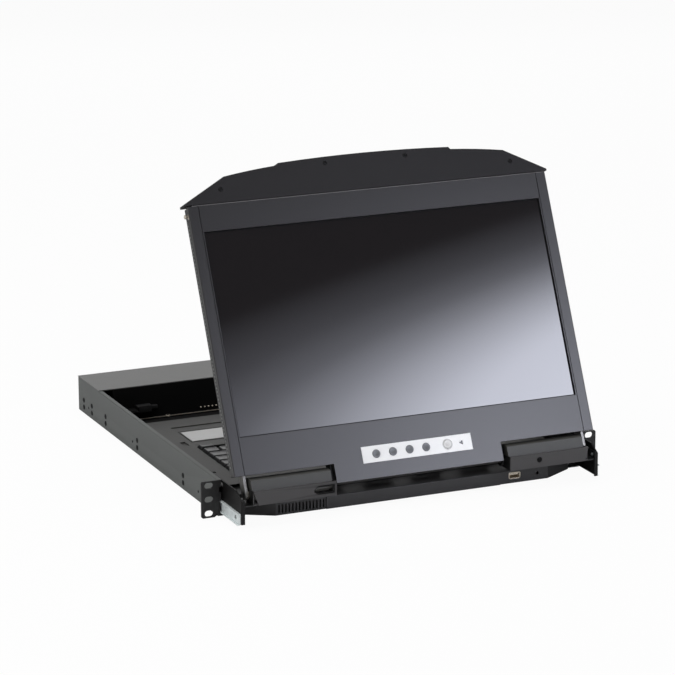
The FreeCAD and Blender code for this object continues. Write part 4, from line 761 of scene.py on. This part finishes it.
def slot_outline(start, length, height, y):
    """Outline of a slot from the plate's inner end: square there and round at the other end."""
    inner, radius = plate_high.x - start, height / 2
    middle = inner - length + radius
    turns = [math.radians(90 + 180 * i / ARC_STEPS) for i in range(ARC_STEPS + 1)]
    arc = [Vector((middle + radius * math.cos(a), y, dish_z + radius * math.sin(a))) for a in turns]
    return [Vector((inner, y, dish_z + radius))] + arc + [Vector((inner, y, dish_z - radius))]


# painted shade: a near-black sheet round the rim of the finger dish
dark_sheet = bmesh.new()
near, far = [plate_low.y + step for step in DISH_SHADE_Y]
rings = [slot_outline(*size, y) for size, y in ((DISH, far), (DISH, near), (SLOT, near), (SLOT, far))]
skin(dark_sheet, [ring_of(dark_sheet, points) for points in rings], closed_ends=False)
seat("finger_dish_shade", dark_sheet, black_and_shade, "lcd_carriage")
print("dish film at z = %.4f" % dish_z)

# %% [markdown]
# ## The lower handle
#
# A dark screen stands behind the vent slots and keeps the eye out of the tray. The USB socket has a
# rolled bright rim, skinned from rounded rings, and four gilt contacts on the underside of its
# tongue.

# %% Vent screen
grip_front = span("keyboard_handle")[0].y
SCREEN_X, SCREEN_Z = (-165 * MM, -106 * MM), (-17.2 * MM, -6.6 * MM)
SCREEN_BEHIND, SCREEN_T = 3.8 * MM, 0.3 * MM
screen = bmesh.new()
block(screen, (SCREEN_X[0], grip_front + SCREEN_BEHIND, SCREEN_Z[0]),
      (SCREEN_X[1], grip_front + SCREEN_BEHIND + SCREEN_T, SCREEN_Z[1]))
seat("vent_screen", screen, tray_paint, "keyboard_module")
print("handle front at y = %.4f" % grip_front)

# %% Socket rim and contacts
usb_low, usb_high = span("usb_socket")
USB_TALL, USB_CORNER = 6.6 * MM, 2.2 * MM
usb_foot = usb_high.z - USB_TALL
# how far each ring of the rim grows past the socket, and how far in from its mouth it stands
RIM_RINGS = ((0.5, 0.3), (0.7, -0.1), (0.4, -0.3), (-0.1, -0.2), (-0.3, 0.3))


def upright_ring(grow, y):
    """Outline of the socket's mouth, grown by a little, standing across Y."""
    low = Vector((usb_low.x - grow, usb_foot - grow, 0))
    high = Vector((usb_high.x + grow, usb_high.z + grow, 0))
    return [Vector((p.x, y, p.y)) for p in rounded_ring(low, high, USB_CORNER, 0)]


rim = bmesh.new()
rings = [upright_ring(grow * MM, usb_low.y + place * MM) for grow, place in RIM_RINGS]
skin(rim, [ring_of(rim, points) for points in rings], closed_ends=False)
seat("usb_rim", rim, nickel, "keyboard_module")

CONTACTS, CONTACT_PITCH, CONTACT_W, CONTACT_EASE = 4, 2.3 * MM, 1.0 * MM, 0.05 * MM
CONTACT_Y, CONTACT_Z = (2.6 * MM, 10 * MM), (3.3 * MM, 3.52 * MM)
contacts = bmesh.new()
usb_middle = (usb_low.x + usb_high.x) / 2
for i in range(CONTACTS):
    x = usb_middle + (i - (CONTACTS - 1) / 2) * CONTACT_PITCH
    block(contacts, (x - CONTACT_W / 2, usb_low.y + CONTACT_Y[0], usb_foot + CONTACT_Z[0]),
          (x + CONTACT_W / 2, usb_low.y + CONTACT_Y[1], usb_foot + CONTACT_Z[1]), CONTACT_EASE)
seat("usb_contacts", contacts, gold_plate, "keyboard_module")
print("socket opening from z = %.4f" % usb_foot)

# %% [markdown]
# ## The bay
#
# Behind the deck the chassis floor is covered with a near-black sheet, and the bay wall is near black
# too: painted shade for the dark inside of the bay. A bright seam trim runs along the foot of the bay
# wall. On the wall are the cable's guide and a short row of terminals, and two bright screws hold its
# foot. They are seen only as glints in a dark space, so each is a few faces with an eased or turned
# edge, which is what catches the light.

# %% Painted shade on the bay floor, and trim
wall_low, wall_high = span("bay_wall")
deck_back = span("keyboard_deck")[1].y
BAY_SHADE_START, BAY_SHADE_END = 0.5 * MM, 5.7 * MM  # behind the deck, and behind the clip's front
BAY_SHADE_T = 0.3 * MM
TRIM_IN, TRIM_EASE = 20 * MM, 0.15 * MM
TRIM_Y, TRIM_Z = (7.0 * MM, 7.8 * MM), (1.6 * MM, 2.3 * MM)
# painted shade: a near-black sheet on the chassis floor behind the deck
dark_sheet = bmesh.new()
block(dark_sheet, (wall_low.x, deck_back + BAY_SHADE_START, wall_low.z),
      (wall_high.x, wall_low.y + BAY_SHADE_END, wall_low.z + BAY_SHADE_T))
seat("bay_floor_shade", dark_sheet, black_and_shade, "chassis")
trim = bmesh.new()
block(trim, (wall_low.x + TRIM_IN, wall_low.y + TRIM_Y[0], wall_low.z + TRIM_Z[0]),
      (wall_high.x - TRIM_IN, wall_low.y + TRIM_Y[1], wall_low.z + TRIM_Z[1]), TRIM_EASE)
seat("bay_seam", trim, nickel, "chassis")
print("seam trim %.3f m long" % (wall_high.x - wall_low.x - 2 * TRIM_IN))

# %% Cable guide
wall_front = wall_low.y + 14 * MM  # the clip stands this far out from the wall
clip_left = wall_low.x + 4 * MM
clip_right = clip_left + 24 * MM
guide_end, cable_end = clip_right + 18 * MM, clip_right + 27 * MM
GUIDE_OUT, CABLE_OUT, GUIDE_EASE, LIP_EASE = 10 * MM, 6 * MM, 0.8 * MM, 0.15 * MM
guide, edges = bmesh.new(), bmesh.new()
block(guide, (clip_right, wall_front - GUIDE_OUT, -9 * MM), (guide_end, wall_front, -1 * MM), GUIDE_EASE)
block(guide, (guide_end, wall_front - CABLE_OUT, -7 * MM), (cable_end, wall_front, -3 * MM), GUIDE_EASE)
block(edges, (clip_left, wall_low.y - 0.2 * MM, -6.3 * MM), (clip_right, wall_low.y + 0.3 * MM, -5.7 * MM),
      LIP_EASE)
block(edges, (clip_right, wall_front - 10.2 * MM, -1.3 * MM), (guide_end, wall_front - 9.7 * MM, -0.8 * MM),
      LIP_EASE)
seat("cable_guide", guide, tray_paint, "chassis")
seat("guide_edges", edges, bracket_paint, "chassis")
print("bay wall stands at y = %.3f" % wall_front)

# %% Terminals and screws
STUDS, FIRST_STUD, STUD_PITCH, STUD_Z = 5, -92 * MM, 5 * MM, -14 * MM
STUD_PROFILE = ((0.9 * MM, 0), (0.9 * MM, 0.8 * MM), (0.5 * MM, 1.2 * MM))
FOOT_SCREW_X, FOOT_SCREW_OUT, FOOT_SCREW_UP = 136 * MM, 4 * MM, 1.0 * MM
FOOT_SCREW_PROFILE = ((3.2 * MM, 0), (3.2 * MM, 0.7 * MM), (2.3 * MM, 1.4 * MM))
studs = bmesh.new()
for i in range(STUDS):
    turned(studs, STUD_PROFILE, (FIRST_STUD + i * STUD_PITCH, wall_front, STUD_Z), (0, -1, 0), 12)
for side in (-1, 1):
    place = (side * FOOT_SCREW_X, wall_front - FOOT_SCREW_OUT, wall_low.z + FOOT_SCREW_UP)
    turned(studs, FOOT_SCREW_PROFILE, place, (0, 0, 1), 20)
seat("bay_terminals", studs, nickel, "chassis")
print("terminals:", STUDS, "and 2 screws")

# %% [markdown]
# ## The rear
#
# The video socket is a black insert with three rows of contacts between two hexagonal jacks. The
# insert stays at the bottom of the shell, so that a plug has room. The USB port has a square tongue,
# and the ground stud carries a nut on a washer: a hexagon is only a turned shape with six sides.

# %% Sockets
rear_face = span("rear_cover")[1].y - 1.2 * MM
VIDEO_X, USBB_X = -40 * MM, -90 * MM
INSERT_HALF, INSERT_DEEP, INSERT_EASE = (7.2 * MM, 2.9 * MM), 0.6 * MM, 0.3 * MM
TONGUE_HALF, TONGUE_DEEP = (2.9 * MM, 2.2 * MM), 7 * MM
insert_face = rear_face + 0.2 * MM
insert = bmesh.new()
block(insert, (VIDEO_X - INSERT_HALF[0], rear_face - INSERT_DEEP, -INSERT_HALF[1]),
      (VIDEO_X + INSERT_HALF[0], insert_face, INSERT_HALF[1]), INSERT_EASE)
block(insert, (USBB_X - TONGUE_HALF[0], rear_face - TONGUE_DEEP, -TONGUE_HALF[1]),
      (USBB_X + TONGUE_HALF[0], rear_face, TONGUE_HALF[1]), INSERT_EASE)
seat("socket_inserts", insert, black_plastic, "chassis")

PIN_PITCH, PIN_SHIFT, PIN_ROW, PIN_R, PIN_LONG = 2.3 * MM, 0.25, 1.9 * MM, 0.4 * MM, 0.1 * MM
pins = bmesh.new()
for row in (-1, 0, 1):
    for i in range(5):
        x = VIDEO_X + (i - 2 + PIN_SHIFT * row) * PIN_PITCH
        turned(pins, [(PIN_R, 0), (PIN_R, PIN_LONG)], (x, insert_face - PIN_LONG / 2, row * PIN_ROW),
               (0, 1, 0), 10)
seat("video_contacts", pins, gold_plate, "chassis")
print("rear face at y = %.4f" % rear_face)

# %% Jacks, washer and nut
HEXAGON = 6
JACK_SIDE, JACK_OUT = 12.5 * MM, 0.9 * MM
JACK_PROFILE = ((3.0 * MM, 0), (3.0 * MM, 2.2 * MM), (2.6 * MM, 2.6 * MM))
GROUND_X, GROUND_Z, NUT_OUT = 190 * MM, -8 * MM, 0.7 * MM
GROUND_WASHER = ((4.4 * MM, 0), (4.4 * MM, 0.6 * MM))
NUT_PROFILE = ((3.9 * MM, 0), (3.9 * MM, 2.6 * MM), (3.4 * MM, 3.0 * MM))
jacks = bmesh.new()
for side in (-1, 1):
    turned(jacks, JACK_PROFILE, (VIDEO_X + side * JACK_SIDE, rear_face + JACK_OUT, 0), (0, 1, 0), HEXAGON)
turned(jacks, GROUND_WASHER, (GROUND_X, rear_face, GROUND_Z), (0, 1, 0))
turned(jacks, NUT_PROFILE, (GROUND_X, rear_face + NUT_OUT, GROUND_Z), (0, 1, 0), HEXAGON)
seat("jacks_and_nut", jacks, nickel, "chassis")
print("jacks %.1f mm apart" % (2 * JACK_SIDE / MM))

# %% [markdown]
# Under the lid the main board has its chips and capacitors. Nobody sees them until the lid is off,
# so they are a loop over a few sizes and not a drawing of a real board.

# %% Chips and capacitors
board_low = span("main_board")[0]
CHIP_SIZES = (22 * MM, 14 * MM, 18 * MM, 12 * MM, 16 * MM)
FIRST_CHIP, CHIP_PITCH, CHIP_Y, CHIP_EASE = 30 * MM, 44 * MM, 24 * MM, 0.3 * MM
BOARD_T, CHIP_TOP = 1.6 * MM, 3.4 * MM
CAN_ASIDE, CAN_Y = 18 * MM, 12 * MM
CAN_PROFILE = ((4 * MM, 0), (4 * MM, 8.6 * MM), (3.5 * MM, 9 * MM))
chips, cans = bmesh.new(), bmesh.new()
for i, size in enumerate(CHIP_SIZES):
    x, y = board_low.x + FIRST_CHIP + i * CHIP_PITCH, board_low.y + CHIP_Y
    block(chips, (x - size / 2, y - size / 2, board_low.z + BOARD_T),
          (x + size / 2, y + size / 2, board_low.z + CHIP_TOP), CHIP_EASE)
    turned(cans, CAN_PROFILE, (x + CAN_ASIDE, board_low.y + CAN_Y, board_low.z + BOARD_T), (0, 0, 1))
seat("chips", chips, chip_black, "chassis")
seat("capacitors", cans, dull_zinc, "chassis")
print("board carries", len(CHIP_SIZES), "chips and as many capacitors")

# %% [markdown]
# ## The studio
#
# A white paper sweep: a floor that the console stands on, so evenly exposed that it runs out to
# white. Light alone can't do that without bleaching the object too, so the paper mixes in plain
# white for the camera's own rays, and keeps its true tone for every ray that lights the object.

# %% Floor
FLOOR_HALF = 9.0
FLOOR_GAP = 0.0002  # keeps the floor's face off the chassis' face


def flat_sheet(name, half_x, half_y, height, material, cuts=0):
    """A flat sheet for the studio, cut into smaller faces where asked."""
    build = bmesh.new()
    build.faces.new(ring_of(build, [(x * half_x, y * half_y, height) for x, y in
                                    ((-1, -1), (1, -1), (1, 1), (-1, 1))]))
    if cuts:
        bmesh.ops.subdivide_edges(build, edges=build.edges[:], cuts=cuts, use_grid_fill=True)
    mesh = bpy.data.meshes.new(name)
    build.to_mesh(mesh)
    build.free()
    mesh.materials.append(material)
    sheet = bpy.data.objects.new(name, mesh)
    bpy.context.scene.collection.objects.link(sheet)
    return sheet


paper = finish("studio_paper", (250, 250, 250), 0.9, mottle=0.004, grain=400, grain_depth=0.01, specular=0.1)


def bleached(material, share):
    """The paper as an over-exposed studio floor: to the camera, part of its tone is plain white."""
    tree = material.node_tree
    shader, out = tree.nodes["Principled BSDF"], tree.nodes["Material Output"]
    white = tree.nodes.new("ShaderNodeEmission")
    white.inputs["Color"].default_value = (1, 1, 1, 1)
    seen = tree.nodes.new("ShaderNodeLightPath").outputs["Is Camera Ray"]
    mix = tree.nodes.new("ShaderNodeMixShader")
    tree.links.new(remap(tree, seen, 0, share, 0, 1), mix.inputs["Fac"])
    tree.links.new(shader.outputs["BSDF"], mix.inputs[1])
    tree.links.new(white.outputs["Emission"], mix.inputs[2])
    tree.links.new(mix.outputs["Shader"], out.inputs["Surface"])


bleached(paper, 0.95)
floor_z = cad_low[2] - FLOOR_GAP
floor = flat_sheet("paper_floor", FLOOR_HALF, FLOOR_HALF, floor_z, paper, cuts=3)
floor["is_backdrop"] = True
print("floor at z = %.4f" % floor_z)

# %% [markdown]
# A glossy screen shows what stands in front of it. In the studio that is a large white card whose
# light fades away to one side, so the glass runs from nearly black at its upper left to pale blue
# grey at its lower right. The card stands parallel to the glass, so that its picture in the glass
# is the card itself, only smaller, and it gives no light to anything matt. Painting the fade on the
# glass would be simpler, but it would stay there when the screen tips or the eye moves.

# %% The card that the screen reflects
CARD_MIDDLE = Vector((0.5315, -0.972, 0.861))
CARD_HALF = (0.38, 0.75)
PICTURE_SCALE = 1.361  # the card's picture in the glass is this much smaller
SCREEN_HALF_HEIGHT = 0.112
CURVE = 10.5  # how fast the light fades with the height squared
FADE_RANGE = (-0.5, 0.2)  # where the fade starts and ends, in metres across the glass
PLACE_AND_TONE = ((0.0, 0.008), (0.27, 0.045), (0.42, 0.092), (0.547, 0.19), (0.714, 0.38), (0.76, 0.44),
                  (0.83, 0.51), (1.0, 0.55))
CARD_TINT = (0.93, 0.96, 1.10)
CARD_STRENGTH = 15.5


def fading_card():
    """Emission that grows from one corner of the card to the other."""
    material = bpy.data.materials.new("fading_card")
    material.use_nodes = True
    tree = material.node_tree
    tree.nodes.clear()
    place = tree.nodes.new("ShaderNodeTexCoord").outputs["Object"]
    split = tree.nodes.new("ShaderNodeSeparateXYZ")
    tree.links.new(place, split.inputs["Vector"])
    across = math_node(tree, "MULTIPLY_ADD", split.outputs["X"], 1 / PICTURE_SCALE, 0)
    height = math_node(tree, "MULTIPLY_ADD", split.outputs["Y"], 1 / PICTURE_SCALE, SCREEN_HALF_HEIGHT)
    above = math_node(tree, "MAXIMUM", height, 0)
    curved = math_node(tree, "MULTIPLY", above, math_node(tree, "MULTIPLY_ADD", above, CURVE, 1))
    fade = math_node(tree, "SUBTRACT", across, curved)
    ramp = tree.nodes.new("ShaderNodeValToRGB")
    while len(ramp.color_ramp.elements) < len(PLACE_AND_TONE):
        ramp.color_ramp.elements.new(0.5)
    for element, (at, tone) in zip(ramp.color_ramp.elements, PLACE_AND_TONE):
        element.position = at
        element.color = (*[tone * tint for tint in CARD_TINT], 1)
    tree.links.new(remap(tree, fade, 0, 1, *FADE_RANGE), ramp.inputs["Fac"])
    light = tree.nodes.new("ShaderNodeEmission")
    light.inputs["Strength"].default_value = CARD_STRENGTH
    out = tree.nodes.new("ShaderNodeOutputMaterial")
    tree.links.new(ramp.outputs["Color"], light.inputs["Color"])
    tree.links.new(light.outputs["Emission"], out.inputs["Surface"])
    return material


card = flat_sheet("reflected_card", *CARD_HALF, 0, fading_card())
card.matrix_world = Matrix.Translation(CARD_MIDDLE) @ Matrix.Rotation(screen_pitch, 4, "X")
for way in ("visible_camera", "visible_diffuse", "visible_shadow", "visible_transmission"):
    setattr(card, way, False)
card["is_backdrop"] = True
print("card stands %.2f m in front of the glass" % ((TO_LCD @ CARD_MIDDLE).z - panel_high.z))

# %% [markdown]
# The room light is a wide soft source overhead and a weaker one from the left: they leave the lid
# lightest, the left wall a little darker and the front in soft shade. A low window behind edges the
# far side, and a small low one fills the front. Lamps of one point would throw hard shadows that
# such a paper sweep never has. The world is white for the camera, so the paper has no edge, and a
# dark grey for everything else.

# %% Lights and world
ROOM_GREY = (0.16, 0.16, 0.165)


def softbox(name, place, aim, size, power):
    """A rectangular lamp that looks at a point."""
    data = bpy.data.lights.new(name, "AREA")
    data.shape = "RECTANGLE"
    data.size, data.size_y = size
    data.energy = power
    light = bpy.data.objects.new(name, data)
    light.location = place
    light.rotation_euler = (Vector(aim) - Vector(place)).to_track_quat("-Z", "Y").to_euler()
    bpy.context.scene.collection.objects.link(light)


softbox("overhead", (-0.2, 0.1, 2.2), (0, 0.15, 0), (2.6, 2.2), 34)
softbox("left_side", (-2.4, -0.4, 1.0), (0, 0.2, 0), (1.6, 1.4), 15)
softbox("rear_window", (1.05, 2.8, 0.8), (0, 0.2, 0), (2.4, 0.7), 7.5)
softbox("front_low", (0.6, -2.6, 0.9), (0, 0, 0.05), (1.8, 0.8), 5)

world = bpy.data.worlds.new("white_room")
bpy.context.scene.world = world
world.use_nodes = True
tree = world.node_tree
tree.nodes.clear()
seen = tree.nodes.new("ShaderNodeLightPath").outputs["Is Camera Ray"]
sky = tree.nodes.new("ShaderNodeBackground")
tree.links.new(toned(tree, seen, ROOM_GREY, (1, 1, 1)), sky.inputs["Color"])
out = tree.nodes.new("ShaderNodeOutputWorld")
tree.links.new(sky.outputs["Background"], out.inputs["Surface"])
print("lights: 4 soft boxes and a grey room")

# %% [markdown]
# The camera stands back more than three and a half metres with a long lens, to the left of the
# console and a little above it. A wide lens from close by would fill the frame as well, but this
# one keeps the sides almost parallel, as product pictures do.

# %% Camera
CAMERA_PLACE = Vector((-1.4722, -3.2064, 1.102475))
CAMERA_AIM = Vector((-0.0792, 0.0, 0.165575))
LENS_MM = 176.74
ROLL = math.radians(-0.27)

camera_data = bpy.data.cameras.new("portrait")
camera_data.sensor_width = 36.0
camera_data.lens = LENS_MM
camera_data.clip_end = 50
camera = bpy.data.objects.new("portrait", camera_data)
camera.matrix_world = (Matrix.Translation(CAMERA_PLACE)
                       @ (CAMERA_AIM - CAMERA_PLACE).to_track_quat("-Z", "Y").to_matrix().to_4x4()
                       @ Matrix.Rotation(ROLL, 4, "Z"))
bpy.context.scene.collection.objects.link(camera)
bpy.context.scene.camera = camera
bpy.context.scene.view_settings.view_transform = "Standard"
print("camera %.2f m away" % (CAMERA_PLACE - CAMERA_AIM).length)

# %% [markdown]
# The dressed model must stay as large as the CAD model: a piece that stands out too far would
# foul its neighbour in the rack. So both boxes are printed.

# %% Sizes and the last line
low, high = [list(corner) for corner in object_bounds()]
print("CAD box", [round(v, 4) for v in cad_low + cad_high])
print("visual box", [round(v, 4) for v in low + high])
